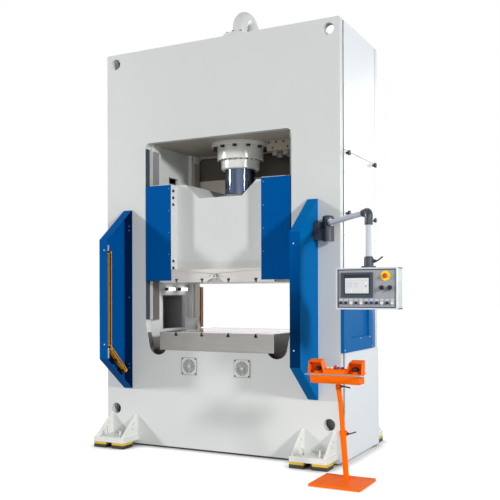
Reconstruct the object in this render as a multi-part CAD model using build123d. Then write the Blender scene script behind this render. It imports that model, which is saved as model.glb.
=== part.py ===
from build123d import *
from math import atan2, cos, degrees, hypot, pi, radians, sin, tan
import os

# Closed-frame hydraulic press with a moving ram, a hanging control panel and a two-hand stand.
# X points right, Y points into the press, Z points up. The origin is the middle of the table's top face.

# How far a cut runs past the face it opens
overrun = 1

# Frame
frame_width = 2700
frame_depth = 1120
frame_height = 4200
plate_thickness = 75
table_height = 1220
floor_gap = 20
frame_corner_radius = 18
web_thickness = 30
inner_wall_thickness = 40

# Window in the frame plates
window_width = 1700
window_top = 2000
window_corner_radius = 55
relief_radius = 112
relief_offset = 160
relief_drop = 55
relief_taper_height = 290

# Holes in the frame plates
lift_hole_diameter = 115
lift_hole_edge = 115
lift_hole_top = 106
lift_hole_bottom = 357
vent_spacing = 616
vent_height = -351
vent_opening = 130

# Side windows in the columns
side_window_depth = 460
side_window_height = 370
side_window_sill = 12
slot_window_depth = 200
slot_window_height = 70
slot_window_sill = 1632

# Crown and bed
crown_floor_lift = 10
crown_floor_thickness = 100
crown_top_thickness = 40
crown_top_drop = 20
crown_top_half = 1100
crown_web_half = 500
bed_plate_thickness = 75
bed_web_half = 480
bed_foot_thickness = 40

# Table and its slots
table_width = 1330
table_overhang = 10
table_thickness = 190
slot_neck = 22
slot_head = 37
slot_head_height = 16
slot_depth = 40
slot_pitch = 310
slot_count = 4
cross_slot_inset = 88

# Ram
ram_daylight = 513
platen_thickness = 139
ram_height = 893
ram_wall_gap = 0.3
shoe_thickness = 15
ram_recess = 112
recess_half = 526
notch_top_half = 415
notch_bottom_half = 250
notch_depth = 150
ram_cell_half_depth = 400
ram_cell_wall = 50
ram_core_half = 260
cover_half = 840
cover_thickness = 3
cover_return = 30
cover_drop = 117
scallop_width = 206
scallop_height = 42
scallop_depth = 60
rib_bolt_diameter = 30
rib_bolt_head = 8
rib_bolt_setback = 38
rib_bolt_pitch = 72

# Guides
guide_block_thickness = 40
guide_block_depth = 165
guide_strip_thickness = 10
guide_strip_width = 107
guide_foot = 123
edge_strip_thickness = 6
edge_strip_inset = 3
shoe_height = 260

# Cylinder
rod_diameter = 330
piston_diameter = 420
piston_height = 180
piston_head_gap = 270
barrel_diameter = 560
barrel_inset = 20
barrel_head = 90
flange_diameter = 620
flange_thickness = 45
gland_diameter = 500
gland_height = 140
gland_nose_diameter = 415
gland_nose_height = 100
gland_chamfer = 12
running_gap = 0.08
seat_gap = 0.5
flange_bolt_count = 12
flange_bolt_diameter = 45
flange_bolt_head = 22
gland_bolt_count = 24
gland_bolt_diameter = 18
gland_bolt_head = 8
rod_socket_depth = 100
clamp_ring_diameter = 470
clamp_ring_height = 50
valve_neck_diameter = 290
valve_neck_height = 135
valve_flange_diameter = 370
valve_flange_thickness = 32
valve_bolt_count = 12
valve_bolt_diameter = 26
valve_bolt_head = 16

# Suction pipe
pipe_diameter = 160
pipe_wall = 8
pipe_bend_radius = 150
pipe_rise = 480
pipe_foot_flange = 250
pipe_foot_thickness = 25

# Side panels
panel_sheet = 3
panel_return = 20
panel_gap = 20
panel_joint = 6
panel_split_upper = 1760
panel_split_middle = 500
panel_split_lower = -170
panel_end_gap = 12
vent_box_stand = 33
vent_box_gap = 0.5
vent_box_bevel = 860
vent_box_rear_stand = 4
vent_recess_front = 214
vent_recess_rear = 744
vent_recess_foot = -30
vent_recess_top = 400
vent_recess_depth = 24
base_panel_stand = 10
base_panel_overrun = 10
knob_diameter = 52
knob_stem = 24
knob_length = 42
knob_lobe_count = 6
knob_inset = 62
knob_drop = 24
knob_pitch = 600
post_width = 60
post_thickness = 30
shelf_thickness = 30
shelf_heights = (-560, 480, 1600)

# Oil tank behind the crown
tank_half_left = 650
tank_depth = 235
tank_overlap = 450
tank_drop = 263
tank_slope_rise = 85
tank_wall = 6
tank_cap_diameter = 110
tank_cap_height = 60
tank_cap_inset = 200

# Motor and pump in the right column
motor_diameter = 330
motor_length = 420
pump_diameter = 180
pump_length = 220
pump_gap_diameter = 210
pump_gap_length = 120
motor_foot_height = 60
motor_foot_inset = 60
motor_foot_thickness = 40
motor_foot_width = 240
motor_setback = 90

# Valve block under the crown
valve_block_left = 345
valve_block_width = 270
valve_block_front = -60
valve_block_depth = 250
valve_block_height = 108
valve_cap_diameter = 62
valve_cap_height = 46
valve_cap_inset = (70, 60)
valve_cap_pitch = 120

# Rear closing plate
rear_panel_height = 520

# Guards
guard_outer = 1125
guard_width = 103
guard_length = 432
guard_top = 1295
guard_foot = -614
guard_shoulder = 12
guard_corner_drop = 340
guard_sheet = 3
curtain_width = 48
curtain_depth = 46
curtain_inset = 6
curtain_setback = 30
curtain_foot = -157
curtain_top = 841
curtain_cap = 24
curtain_front_edge = 8
curtain_rear_edge = 10
curtain_groove = 2
curtain_strap_width = 32
curtain_strap_sheet = 3
curtain_strap_overlap = 30
curtain_strap_below = 105
curtain_strap_above = 59
low_curtain_length = 372
low_curtain_width = 34
low_curtain_lean = 44.5
low_curtain_setback = 74
low_curtain_drop = 6
low_bracket_spots = (150, 325)
low_bracket_length = 32
low_bracket_depth = 48
low_bracket_inset = 10
rear_curtain_top = 480
rear_curtain_foot = 2
rear_curtain_overhang = 24

# Vent plates on the bed front
vent_plate_size = 178
vent_plate_thickness = 6
vent_ring_outer = 66
vent_ring_inner = 16
vent_slot_count = 24
vent_slot_width = 6

# Work lamps
lamp_length = 175
lamp_height = 34
lamp_thickness = 36
lamp_height_up = 433
lamp_centres = (-97, 166)

# Feet
foot_width = 380
foot_reach = 280
foot_plate_thickness = 52
foot_plate_lift = 40
foot_side_inset = 30
gusset_thickness = 25
gusset_inset = 15
gusset_height = 215
gusset_front_inset = 18
gusset_front_height = 12
gusset_top_width = 14
pad_width = 150
pad_depth = 165
foot_bolt_diameter = 24
foot_bolt_nut = 40
foot_bolt_nut_height = 22
foot_bolt_height = 62
foot_bolt_hole_gap = 1

# Hanging control panel
pivot_x = 1262
pivot_y = -645
arm_reach_x = 645
arm_reach_y = -765
arm_height = 1050
arm_tube_diameter = 48
drop_tube_diameter = 52
bearing_foot = 883
bearing_split = 1000
bearing_top = 1120
bearing_diameter = 108
bearing_pin_diameter = 50
bearing_cap = 14
head_collar_root = 10
head_collar_reach = 30
bracket_gap = 3
bracket_width = 74
bracket_foot = 896
bracket_height = 166
bracket_depth = 130
bracket_wall = 8
elbow_diameter = 72
elbow_bend_radius = 40
elbow_collar_diameter = 68
elbow_collar_length = 62
elbow_drop = 105
head_round = 22
coupling_diameter = 78
coupling_round = 14
coupling_boss_diameter = 36
coupling_height = 78
coupling_flange_diameter = 120
coupling_flange_height = 14
coupling_pin_diameter = 36
coupling_pin_length = 60
lever_diameter = 12
lever_length = 60
lever_hub_diameter = 22
lever_hub_length = 16
lever_boss = 4
box_width = 510
box_height = 334
box_depth = 150
box_top = 600
box_wall = 3
box_frame = 12
box_frame_depth = 9
display_width = 268
display_height = 202
display_left = 42
display_top = 38
display_bezel = 8
display_window_gap = 16
estop_inset = 97
estop_drop = 67
estop_plate_diameter = 79
estop_plate_thickness = 4
estop_head_diameter = 40
estop_stem_diameter = 22
estop_head_length = 22
mushroom_rim_share = 0.27
mushroom_chamfer = 3
selector_drops = 161
selector_insets = (131, 64)
selector_diameter = 32
selector_base_diameter = 38
selector_base_length = 8
selector_knob_length = 22
selector_grip_width = 9
selector_shaft_diameter = 14
button_row_height = 52
button_row_inset = 42
button_count = 11
button_diameter = 24
button_length = 12
label_width = 30
label_height = 18
label_lift = 24
label_thickness = 2

# Two-hand stand
stand_x = 1589
stand_y = -1171
stand_plate_width = 450
stand_plate_depth = 430
stand_plate_sheet = 8
stand_plate_skirt = 22
stand_foot_setback = 98
stand_tube_diameter = 50
stand_lean = 11.5
stand_lower_length = 436
stand_collar_diameter = 62
stand_collar_height = 40
stand_post_diameter = 41.9
stand_post_wall = 5
stand_bend_height = 705
stand_neck_lean = 22
stand_bend_radius = 90
stand_overlap = 300
stand_weld = 6
stand_neck_length = 116
stand_bolt_diameter = 16
stand_bolt_head = 10
console_reach = 33.6
console_lift = 27.3
console_body_width = 430
console_body_height = 118
console_body_depth = 150
console_sheet = 3
console_front_undercut = 26
console_front_chamfer = 10
console_ledge = 30
hood_width = 140
hood_front = 30
hood_front_foot = 14
hood_rear = 108
hood_front_height = 62
hood_rear_height = 80
hood_cheek_lean = 32
hood_outset = 20
palm_diameter = 64
palm_height = 30
palm_stem_diameter = 24
palm_travel = 8
palm_ring_diameter = 76
palm_ring_height = 14
small_button_diameter = 24
small_button_length = 19
small_button_stem = 12
small_button_spots = (-78, -47, 22, 53)
small_ring_diameter = 30
small_ring_height = 3
small_button_rise = 7
stop_spot = -14
stop_set_back = 24
stop_head_diameter = 38
stop_head_height = 24
rail_diameter = 12
rail_reach = 74
rail_drop = 24
rail_half = 236
rail_corner = 45
rail_root_corner = 15
tilt_hub_diameter = 36
hub_rise = 26
fork_cheek = 6
fork_gap = 0.3
fork_root = 8
pin_overhang = 4
tilt_hub_length = 24
hub_web = 24
tilt_pin_diameter = 16

# Heights and half sizes that follow from the sizes above
floor = -table_height
frame_foot = floor + floor_gap
frame_top = frame_foot + frame_height
half_width = frame_width / 2
front = -frame_depth / 2
rear = frame_depth / 2
inner_front = front + plate_thickness
inner_rear = rear - plate_thickness
half_window = window_width / 2
bed_top = -table_thickness
crown_floor = window_top + crown_floor_lift
post_seat = half_width - panel_return
post_inner = post_seat - post_thickness
platen_top = ram_daylight + platen_thickness
ram_top = platen_top + ram_height
notch_floor = ram_top - notch_depth
guide_face = half_window - guide_block_thickness - guide_strip_thickness
ram_half = guide_face - ram_wall_gap - shoe_thickness
wing_front = front - 2
wing_rear = rear - 5
flange_foot = crown_floor - flange_thickness
gland_foot = flange_foot - gland_height
nose_foot = gland_foot - gland_nose_height
barrel_top = frame_top - barrel_inset
bore_top = barrel_top - barrel_head
piston_foot = bore_top - piston_head_gap - piston_height
pipe_top = frame_top + pipe_rise
tank_foot = window_top - tank_overlap
tank_top = frame_top - tank_drop
rear_panel_foot = window_top - rear_panel_height
guard_inner = guard_outer - guard_width
guard_front = front - guard_length
bracket_left = guard_outer + bracket_gap

parts = {}


def block(x0, x1, y0, y1, z0, z1):
    """A box between two corners."""
    return Pos((x0 + x1) / 2, (y0 + y1) / 2, (z0 + z1) / 2) * Box(x1 - x0, y1 - y0, z1 - z0)


def stud(x, y, z0, z1, diameter):
    """An upright round bar."""
    return Pos(x, y, (z0 + z1) / 2) * Cylinder(diameter / 2, z1 - z0)


def bar_y(x, z, y0, y1, diameter):
    """A round bar along Y."""
    return Pos(x, (y0 + y1) / 2, z) * Rot(90, 0, 0) * Cylinder(diameter / 2, y1 - y0)


def bar_x(y, z, x0, x1, diameter):
    """A round bar along X."""
    return Pos((x0 + x1) / 2, y, z) * Rot(0, 90, 0) * Cylinder(diameter / 2, x1 - x0)


def front_profile(sketch, y0, y1):
    """Extrudes a sketch drawn in X and Z between two depths."""
    return extrude(Plane.XZ.offset(-y1) * sketch, y1 - y0)


def side_profile(sketch, x0, x1):
    """Extrudes a sketch drawn in Y and Z between two widths."""
    return extrude(Plane.YZ.offset(x0) * sketch, x1 - x0)


def polygon(*points):
    """A flat face through the points."""
    return make_face(Polyline(*points, close=True))


def other_side(shape):
    """The same piece on the other side of the press."""
    return mirror(shape, about=Plane.YZ)


def other_end(shape):
    """The same piece at the other end of the press's depth."""
    return mirror(shape, about=Plane.XZ)


def group(*pieces):
    """Separate solids that share one node."""
    return Compound(children=[piece.solid() for piece in pieces])


def both_sides(piece):
    """A piece and its mirror image as one node."""
    return group(piece, other_side(piece))


def window_outline():
    """Window of the frame plates: rounded at the top, with deep round reliefs at the table."""
    taper_top = bed_top + relief_taper_height
    upper = Pos(0, (taper_top + window_top) / 2) * Rectangle(window_width, window_top - taper_top)
    upper = fillet(upper.vertices().group_by(Axis.Y)[-1], window_corner_radius)
    relief_x = half_window - relief_offset
    relief_z = bed_top - relief_drop + relief_radius
    outline = upper + Pos(0, (bed_top + taper_top) / 2) * Rectangle(2 * relief_x, taper_top - bed_top)
    for side in (-1, 1):
        circle = Pos(side * relief_x, relief_z) * Circle(relief_radius)
        mouth = Line((side * relief_x, taper_top), (side * half_window, taper_top))
        outline += make_hull(circle.edges() + mouth.edges())
    return outline


def frame_plate(y0, y1, with_vents):
    """One of the two thick plates that carry the press force."""
    middle = (frame_foot + frame_top) / 2
    profile = Pos(0, middle) * RectangleRounded(frame_width, frame_height, frame_corner_radius)
    profile -= window_outline()
    lift_x = half_width - lift_hole_edge
    for x in (-lift_x, lift_x):
        for z in (frame_top - lift_hole_top, frame_foot + lift_hole_bottom):
            profile -= Pos(x, z) * Circle(lift_hole_diameter / 2)
    if with_vents:
        for x in (-vent_spacing / 2, vent_spacing / 2):
            profile -= Pos(x, vent_height) * Circle(vent_opening / 2)
    return front_profile(profile, y0, y1)


def crown_box():
    """Welded floor, top and two webs between the frame plates, bored for the cylinder."""
    top = frame_top - crown_top_drop
    floor_plate = block(-post_inner, post_inner, inner_front, inner_rear,
                        crown_floor, crown_floor + crown_floor_thickness)
    top_plate = block(-crown_top_half, crown_top_half, inner_front, inner_rear,
                      top - crown_top_thickness, top)
    crown = floor_plate + top_plate
    for x in (-crown_web_half, crown_web_half):
        crown += block(x - web_thickness / 2, x + web_thickness / 2, inner_front, inner_rear,
                       crown_floor + crown_floor_thickness, top - crown_top_thickness)
    return crown - stud(0, 0, crown_floor - 1, top + 1, barrel_diameter + 2 * seat_gap)


def bed_box():
    """Welded box under the table, between the frame plates."""
    plate_foot = bed_top - bed_plate_thickness
    bed = block(-half_window, half_window, inner_front, inner_rear, plate_foot, bed_top)
    bed += block(-half_window, half_window, inner_front, inner_rear,
                 frame_foot, frame_foot + bed_foot_thickness)
    for x in (-bed_web_half, bed_web_half):
        bed += block(x - web_thickness / 2, x + web_thickness / 2, inner_front, inner_rear,
                     frame_foot + bed_foot_thickness, plate_foot)
    return bed


def column_box():
    """Right column: inner wall with its windows, outer posts and shelves between them."""
    wall = block(half_window, half_window + inner_wall_thickness, inner_front, inner_rear,
                 frame_foot, crown_floor)
    wall -= block(half_window - 1, half_window + inner_wall_thickness + 1,
                  -side_window_depth / 2, side_window_depth / 2,
                  side_window_sill, side_window_sill + side_window_height)
    wall -= block(half_window - 1, half_window + inner_wall_thickness + 1,
                  -slot_window_depth / 2, slot_window_depth / 2,
                  slot_window_sill, slot_window_sill + slot_window_height)
    column = wall
    for y0 in (inner_front, inner_rear - post_width):
        column += block(post_inner, post_seat, y0, y0 + post_width, frame_foot, frame_top - panel_end_gap)
    levels = (frame_foot + shelf_thickness,) + shelf_heights
    for top in levels:
        column += block(half_window + inner_wall_thickness, post_inner, inner_front, inner_rear,
                        top - shelf_thickness, top)
    return column


def slot_section(opening_up):
    """T-slot outline with its mouth at height zero."""
    way = -1 if opening_up else 1
    neck = Pos(0, way * (slot_depth - overrun) / 2) * Rectangle(slot_neck, slot_depth + overrun)
    head = Pos(0, way * (slot_depth - slot_head_height / 2)) * Rectangle(slot_head, slot_head_height)
    return neck + head


def slot_places():
    """Middle of each long T-slot."""
    return [(n - (slot_count - 1) / 2) * slot_pitch for n in range(slot_count)]


def table():
    """Grey machined table plate with its long and cross T-slots."""
    half_depth = frame_depth / 2 + table_overhang
    plate = block(-table_width / 2, table_width / 2, -half_depth, half_depth, bed_top, 0)
    for x in slot_places():
        plate -= front_profile(Pos(x, 0) * slot_section(True), -half_depth - 1, half_depth + 1)
    for y in (-half_depth + cross_slot_inset, half_depth - cross_slot_inset):
        plate -= side_profile(Pos(y, 0) * slot_section(True), -table_width / 2 - 1, table_width / 2 + 1)
    return plate


def guide_rails():
    """Eight solids: a block with a steel strip and a strip on the plate edge, at each corner."""
    block_front = inner_front
    strip_z = (guide_foot, crown_floor)
    backing = block(half_window - guide_block_thickness, half_window, block_front,
                    block_front + guide_block_depth, *strip_z)
    strip = block(guide_face, half_window - guide_block_thickness, block_front + 5,
                  block_front + 5 + guide_strip_width, *strip_z)
    rail = backing + strip
    edge = block(half_window - edge_strip_thickness, half_window, front + edge_strip_inset,
                 inner_front - edge_strip_inset, guide_foot, window_top - window_corner_radius)
    corner = [rail, edge]
    both_ends = corner + [other_end(piece) for piece in corner]
    return group(*both_ends, *[other_side(piece) for piece in both_ends])


def ram_slide():
    """Welded ram: recessed face with the notch at the top, wings beside it and hollow cells."""
    outline = polygon((-ram_half, platen_top), (ram_half, platen_top), (ram_half, ram_top),
                      (notch_top_half, ram_top), (notch_bottom_half, notch_floor),
                      (-notch_bottom_half, notch_floor), (-notch_top_half, ram_top),
                      (-ram_half, ram_top))
    recess_front = front + ram_recess
    recess_rear = rear - ram_recess
    body = front_profile(outline, recess_front, recess_rear)
    for x0, x1 in ((recess_half, ram_half), (-ram_half, -recess_half)):
        body += block(x0, x1, wing_front, recess_front, platen_top, ram_top)
        body += block(x0, x1, recess_rear, wing_rear, platen_top, ram_top)
    for x0, x1 in ((ram_core_half, ram_half - ram_cell_wall), (ram_cell_wall - ram_half, -ram_core_half)):
        body -= block(x0, x1, -ram_cell_half_depth, ram_cell_half_depth,
                      platen_top + ram_cell_wall, notch_floor - ram_cell_wall)
    socket_foot = notch_floor - rod_socket_depth
    return body - stud(0, 0, socket_foot, notch_floor + 1, rod_diameter + 2 * running_gap)


def ram_platen():
    """Grey lower plate of the ram with hanging T-slots, a scooped front and a lifting eye."""
    plate = block(-table_width / 2, table_width / 2, front, rear, ram_daylight, platen_top)
    for x in slot_places():
        plate -= front_profile(Pos(x, ram_daylight) * slot_section(False), front - 1, rear + 1)
    half_chord = scallop_width / 2
    scoop_radius = (half_chord ** 2 + scallop_height ** 2) / (2 * scallop_height)
    scoop_z = ram_daylight + scallop_height - scoop_radius
    plate -= bar_y(0, scoop_z, front - 1, front + scallop_depth, 2 * scoop_radius)
    eye_z = ram_daylight + scallop_height + 14
    eye = Pos(0, front - 16, eye_z) * Rot(90, 0, 0) * Torus(20, 7)
    shank = bar_y(0, eye_z + 20, front - 16, front + 1, 16)
    return plate + shank + eye


def ram_cover():
    """Right blue cover of the ram, a sheet with its outer edge folded back."""
    y1 = wing_front
    foot = platen_top - cover_drop
    top = ram_top - 5
    sheet = block(recess_half, cover_half, y1 - cover_thickness, y1, foot, top)
    fold = block(cover_half - cover_thickness, cover_half, y1, y1 + cover_return, foot, top)
    return sheet + fold


def guide_shoes():
    """Eight bronze shoes on the ram's sides, facing the steel strips."""
    y0 = inner_front + 5
    shoes = []
    for z0 in (platen_top + 20, ram_top - 20 - shoe_height):
        shoes.append(block(ram_half, ram_half + shoe_thickness, y0, y0 + guide_strip_width, z0, z0 + shoe_height))
    both_ends = shoes + [other_end(shoe) for shoe in shoes]
    return group(*both_ends, *[other_side(shoe) for shoe in both_ends])


def bolt_ring(count, radius, z0, z1, diameter, middle=(0, 0), turn=0):
    """Round bolt heads on a circle."""
    heads = []
    for n in range(count):
        angle = radians(turn + n * 360 / count)
        heads.append(stud(middle[0] + radius * cos(angle), middle[1] + radius * sin(angle), z0, z1, diameter))
    return heads


def ram_bolts():
    """Black screws on the two inner flanks of the ram and on the rod's clamp ring."""
    y = wing_front + rib_bolt_setback
    heights = [platen_top + 17 + n * rib_bolt_pitch for n in range(2)]
    heights += [ram_top - 67 - n * rib_bolt_pitch for n in range(3)]
    heads = [bar_x(y, z, recess_half - rib_bolt_head, recess_half, rib_bolt_diameter) for z in heights]
    heads += [other_side(head) for head in heads]
    ring_top = notch_floor + clamp_ring_height
    ring_radius = (rod_diameter + clamp_ring_diameter) / 4
    return group(*heads, *bolt_ring(8, ring_radius, ring_top, ring_top + 16, 30))


def clamp_ring():
    """Ring that holds the rod down in the ram."""
    ring = stud(0, 0, notch_floor, notch_floor + clamp_ring_height, clamp_ring_diameter)
    return ring - stud(0, 0, notch_floor - 1, notch_floor + clamp_ring_height + 1, rod_diameter + 2 * running_gap)


def main_cylinder():
    """Cylinder barrel hung from the crown floor, with the filling valve's neck on its head."""
    outline = [(0, flange_foot), (flange_diameter / 2, flange_foot), (flange_diameter / 2, crown_floor),
               (barrel_diameter / 2, crown_floor), (barrel_diameter / 2, barrel_top),
               (valve_neck_diameter / 2, barrel_top), (valve_neck_diameter / 2, barrel_top + valve_neck_height),
               (valve_flange_diameter / 2, barrel_top + valve_neck_height),
               (valve_flange_diameter / 2, barrel_top + valve_neck_height + valve_flange_thickness),
               (0, barrel_top + valve_neck_height + valve_flange_thickness)]
    barrel = revolve(Plane.XZ * polygon(*outline), Axis.Z)
    return barrel - stud(0, 0, flange_foot - 1, bore_top, piston_diameter)


def cylinder_gland():
    """Stepped gland under the cylinder, bored for the rod."""
    outer = gland_diameter / 2
    nose = gland_nose_diameter / 2
    outline = [(0, nose_foot), (nose - gland_chamfer, nose_foot), (nose, nose_foot + gland_chamfer),
               (nose, gland_foot), (outer - gland_chamfer / 2, gland_foot), (outer, gland_foot + gland_chamfer / 2),
               (outer, flange_foot), (0, flange_foot)]
    gland = revolve(Plane.XZ * polygon(*outline), Axis.Z)
    return gland - stud(0, 0, nose_foot - 1, flange_foot + 1, rod_diameter + 2 * running_gap)


def cylinder_bolts():
    """Bolt heads under the cylinder's flange, under the gland and on the pipe's flange."""
    flange_radius = (flange_diameter + gland_diameter) / 4
    gland_radius = (gland_diameter + gland_nose_diameter) / 4
    heads = bolt_ring(flange_bolt_count, flange_radius, flange_foot - flange_bolt_head, flange_foot,
                      flange_bolt_diameter, turn=15)
    heads += bolt_ring(gland_bolt_count, gland_radius, gland_foot - gland_bolt_head, gland_foot,
                       gland_bolt_diameter)
    pipe_flange_top = barrel_top + valve_neck_height + 2 * valve_flange_thickness
    heads += bolt_ring(valve_bolt_count, valve_flange_diameter / 2 - 26, pipe_flange_top,
                       pipe_flange_top + valve_bolt_head, valve_bolt_diameter)
    return group(*heads)


def piston_rod():
    """Chromed rod and its piston, turned as one piece."""
    rod = stud(0, 0, notch_floor - rod_socket_depth, piston_foot + 1, rod_diameter)
    return rod + stud(0, 0, piston_foot, piston_foot + piston_height, piston_diameter - 2 * running_gap)


def pipe_run(diameter, riser_foot, return_foot):
    """Solid inverted U of one diameter: riser, half turn and return leg."""
    bend_z = pipe_top - pipe_diameter / 2 - pipe_bend_radius
    section = Plane.XY.offset(bend_z) * Circle(diameter / 2)
    turn_axis = Axis((0, pipe_bend_radius, bend_z), (-1, 0, 0))
    run = stud(0, 0, riser_foot, bend_z, diameter)
    run += revolve(section, turn_axis, 180)
    return run + stud(0, 2 * pipe_bend_radius, return_foot, bend_z, diameter)


def suction_pipe():
    """Filling pipe from the cylinder's valve over to the crown's oil space."""
    riser_foot = barrel_top + valve_neck_height + valve_flange_thickness
    seat = frame_top - crown_top_drop
    pipe = pipe_run(pipe_diameter, riser_foot, seat)
    pipe += stud(0, 0, riser_foot, riser_foot + valve_flange_thickness, valve_flange_diameter)
    pipe += stud(0, 2 * pipe_bend_radius, seat, seat + pipe_foot_thickness, pipe_foot_flange)
    return pipe - pipe_run(pipe_diameter - 2 * pipe_wall, riser_foot - 1, seat - 1)


def tray(y0, y1, z0, z1, stand=0):
    """Folded sheet panel on the right side, open towards the machine."""
    outer = half_width + stand
    shell = block(post_seat, outer, y0, y1, z0, z1)
    return shell - block(post_seat - 1, outer - panel_sheet, y0 + panel_sheet, y1 - panel_sheet,
                         z0 + panel_sheet, z1 - panel_sheet)


def plain_panel(z0, z1):
    """White side panel between the frame plates."""
    return tray(inner_front + panel_gap, inner_rear - panel_gap, z0, z1, panel_sheet)


def vent_panel():
    """Blue cooler housing that stands proud over the plate edge, with a closed recess and a bevelled rear."""
    z0 = panel_split_lower + panel_joint
    z1 = panel_split_middle - panel_joint
    inner = half_width + vent_box_gap
    outer = half_width + vent_box_stand
    end = inner_rear - panel_gap
    plan = polygon((inner, front), (outer, front), (outer, front + vent_box_bevel),
                   (half_width + vent_box_rear_stand, end), (inner, end))
    hollow = polygon((inner - overrun, front + panel_sheet), (outer - panel_sheet, front + panel_sheet),
                     (outer - panel_sheet, front + vent_box_bevel), (inner - overrun, end))
    face = extrude(Plane.XY.offset(z0) * plan, z1 - z0)
    face -= extrude(Plane.XY.offset(z0 + panel_sheet) * hollow, z1 - z0 - 2 * panel_sheet)
    y0 = front + vent_recess_front
    y1 = front + vent_recess_rear
    back = outer - vent_recess_depth
    face += block(back - panel_sheet, outer, y0 - panel_sheet, y1 + panel_sheet,
                  vent_recess_foot - panel_sheet, vent_recess_top + panel_sheet)
    return face - block(back, outer + overrun, y0, y1, vent_recess_foot, vent_recess_top)


def base_panel():
    """White lower panel, proud of the side, running past the rear plate."""
    z1 = panel_split_lower
    outer = half_width + base_panel_stand
    face = block(half_width, outer, inner_front + panel_gap, rear + base_panel_overrun, frame_foot + 5, z1)
    return face


def panel_knob(y, z):
    """Lobed hand knob on the right side."""
    x0 = half_width + panel_sheet
    stem = bar_x(y, z, x0, x0 + knob_length / 2, knob_stem)
    head = bar_x(y, z, x0 + knob_length / 2, x0 + knob_length, knob_diameter * 0.74)
    for n in range(knob_lobe_count):
        angle = 2 * pi * n / knob_lobe_count
        reach = knob_diameter * 0.34
        head += bar_x(y + reach * cos(angle), z + reach * sin(angle), x0 + knob_length / 2,
                      x0 + knob_length, knob_diameter * 0.3)
    return stem + head


def panel_knobs():
    """Knobs at the edges of the middle side panels, on both sides."""
    knobs = []
    for y in (inner_front + panel_gap + knob_inset, inner_rear - panel_gap - knob_inset):
        for z in (panel_split_upper - knob_drop, panel_split_upper - knob_pitch):
            knobs.append(panel_knob(y, z))
    return group(*knobs, *[other_side(knob) for knob in knobs])


def oil_tank():
    """Hollow oil tank on the rear plate with a sloped underside and a filler cap."""
    y1 = rear + tank_depth
    section = polygon((rear, tank_foot), (y1, tank_foot + tank_slope_rise), (y1, tank_top), (rear, tank_top))
    inner = offset(section, -tank_wall)
    tank = side_profile(section, -tank_half_left, half_width)
    tank -= side_profile(inner, tank_wall - tank_half_left, half_width - tank_wall)
    cap_x = half_width - tank_cap_inset
    cap_y = rear + tank_depth / 2
    return tank + stud(cap_x, cap_y, tank_top, tank_top + tank_cap_height, tank_cap_diameter)


def motor_pump():
    """Electric motor, coupling housing and pump lying on the lower shelf of the right column."""
    x = (half_window + inner_wall_thickness + post_inner) / 2
    z = frame_foot + shelf_thickness + motor_foot_height + motor_diameter / 2
    y0 = inner_front + motor_setback
    y1 = y0 + motor_length
    y2 = y1 + pump_gap_length
    unit = bar_y(x, z, y0, y1, motor_diameter)
    unit += bar_y(x, z, y1, y2, pump_gap_diameter)
    unit += bar_y(x, z, y2, y2 + pump_length, pump_diameter)
    shelf = frame_foot + shelf_thickness
    for y in (y0 + motor_foot_inset, y1 - motor_foot_inset - motor_foot_thickness):
        unit += block(x - motor_foot_width / 2, x + motor_foot_width / 2, y, y + motor_foot_thickness, shelf, z)
    return unit


def valve_block():
    """Valve block bolted under the crown floor, with round valves on its underside."""
    x0 = valve_block_left
    y0 = valve_block_front
    z0 = crown_floor - valve_block_height
    body = block(x0, x0 + valve_block_width, y0, y0 + valve_block_depth, z0, crown_floor)
    cap_x, cap_y = x0 + valve_cap_inset[0], y0 + valve_cap_inset[1]
    for x in (cap_x, cap_x + valve_cap_pitch):
        for y in (cap_y, cap_y + valve_cap_pitch):
            body += stud(x, y, z0 - valve_cap_height, z0, valve_cap_diameter)
    return body


def rear_panel():
    """Dark sheet that closes the top of the rear window, behind the dark strips and in front of the tank."""
    middle = (rear_panel_foot + window_top) / 2
    outline = window_outline() & Pos(0, middle) * Rectangle(window_width, window_top - rear_panel_foot)
    return front_profile(outline, rear - edge_strip_inset, rear)


def guard_outline():
    """Side view of a guard: square at the press, sloping away above and below."""
    return polygon((front, guard_top), (front - guard_shoulder, guard_top),
                   (guard_front, guard_top - guard_corner_drop), (guard_front, guard_foot + guard_corner_drop),
                   (front - guard_shoulder, guard_foot), (front, guard_foot))


def guard():
    """Right guard, a folded tray open towards the work space."""
    outline = guard_outline()
    shell = side_profile(outline, guard_inner, guard_outer)
    return shell - side_profile(offset(outline, -guard_sheet), guard_inner - overrun, guard_outer - guard_sheet)


def curtain(x0, y0, z0, z1):
    """Upright light curtain: square profile with a sunk window between its end caps."""
    body = block(x0, x0 + curtain_width, y0, y0 + curtain_depth, z0, z1)
    return body - block(x0 - overrun, x0 + curtain_groove, y0 + curtain_front_edge,
                        y0 + curtain_depth - curtain_rear_edge, z0 + curtain_cap, z1 - curtain_cap)


def low_curtain(x0):
    """Short light curtain that leans along the guard's lower slope, held to the guard by two brackets."""
    half = low_curtain_width / 2
    bar = block(x0, x0 + curtain_width, 0, low_curtain_length, -half, half)
    bar -= block(x0 - overrun, x0 + curtain_groove, curtain_cap, low_curtain_length - curtain_cap,
                 curtain_rear_edge - half, half - curtain_rear_edge)
    for y in low_bracket_spots:
        bar += block(x0 + low_bracket_inset, guard_outer - guard_sheet, y, y + low_bracket_length,
                     -half - low_bracket_depth, half / 2)
    head_y = guard_front + low_curtain_setback
    return Pos(0, head_y, curtain_foot - low_curtain_drop) * Rot(-low_curtain_lean, 0, 0) * bar


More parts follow.
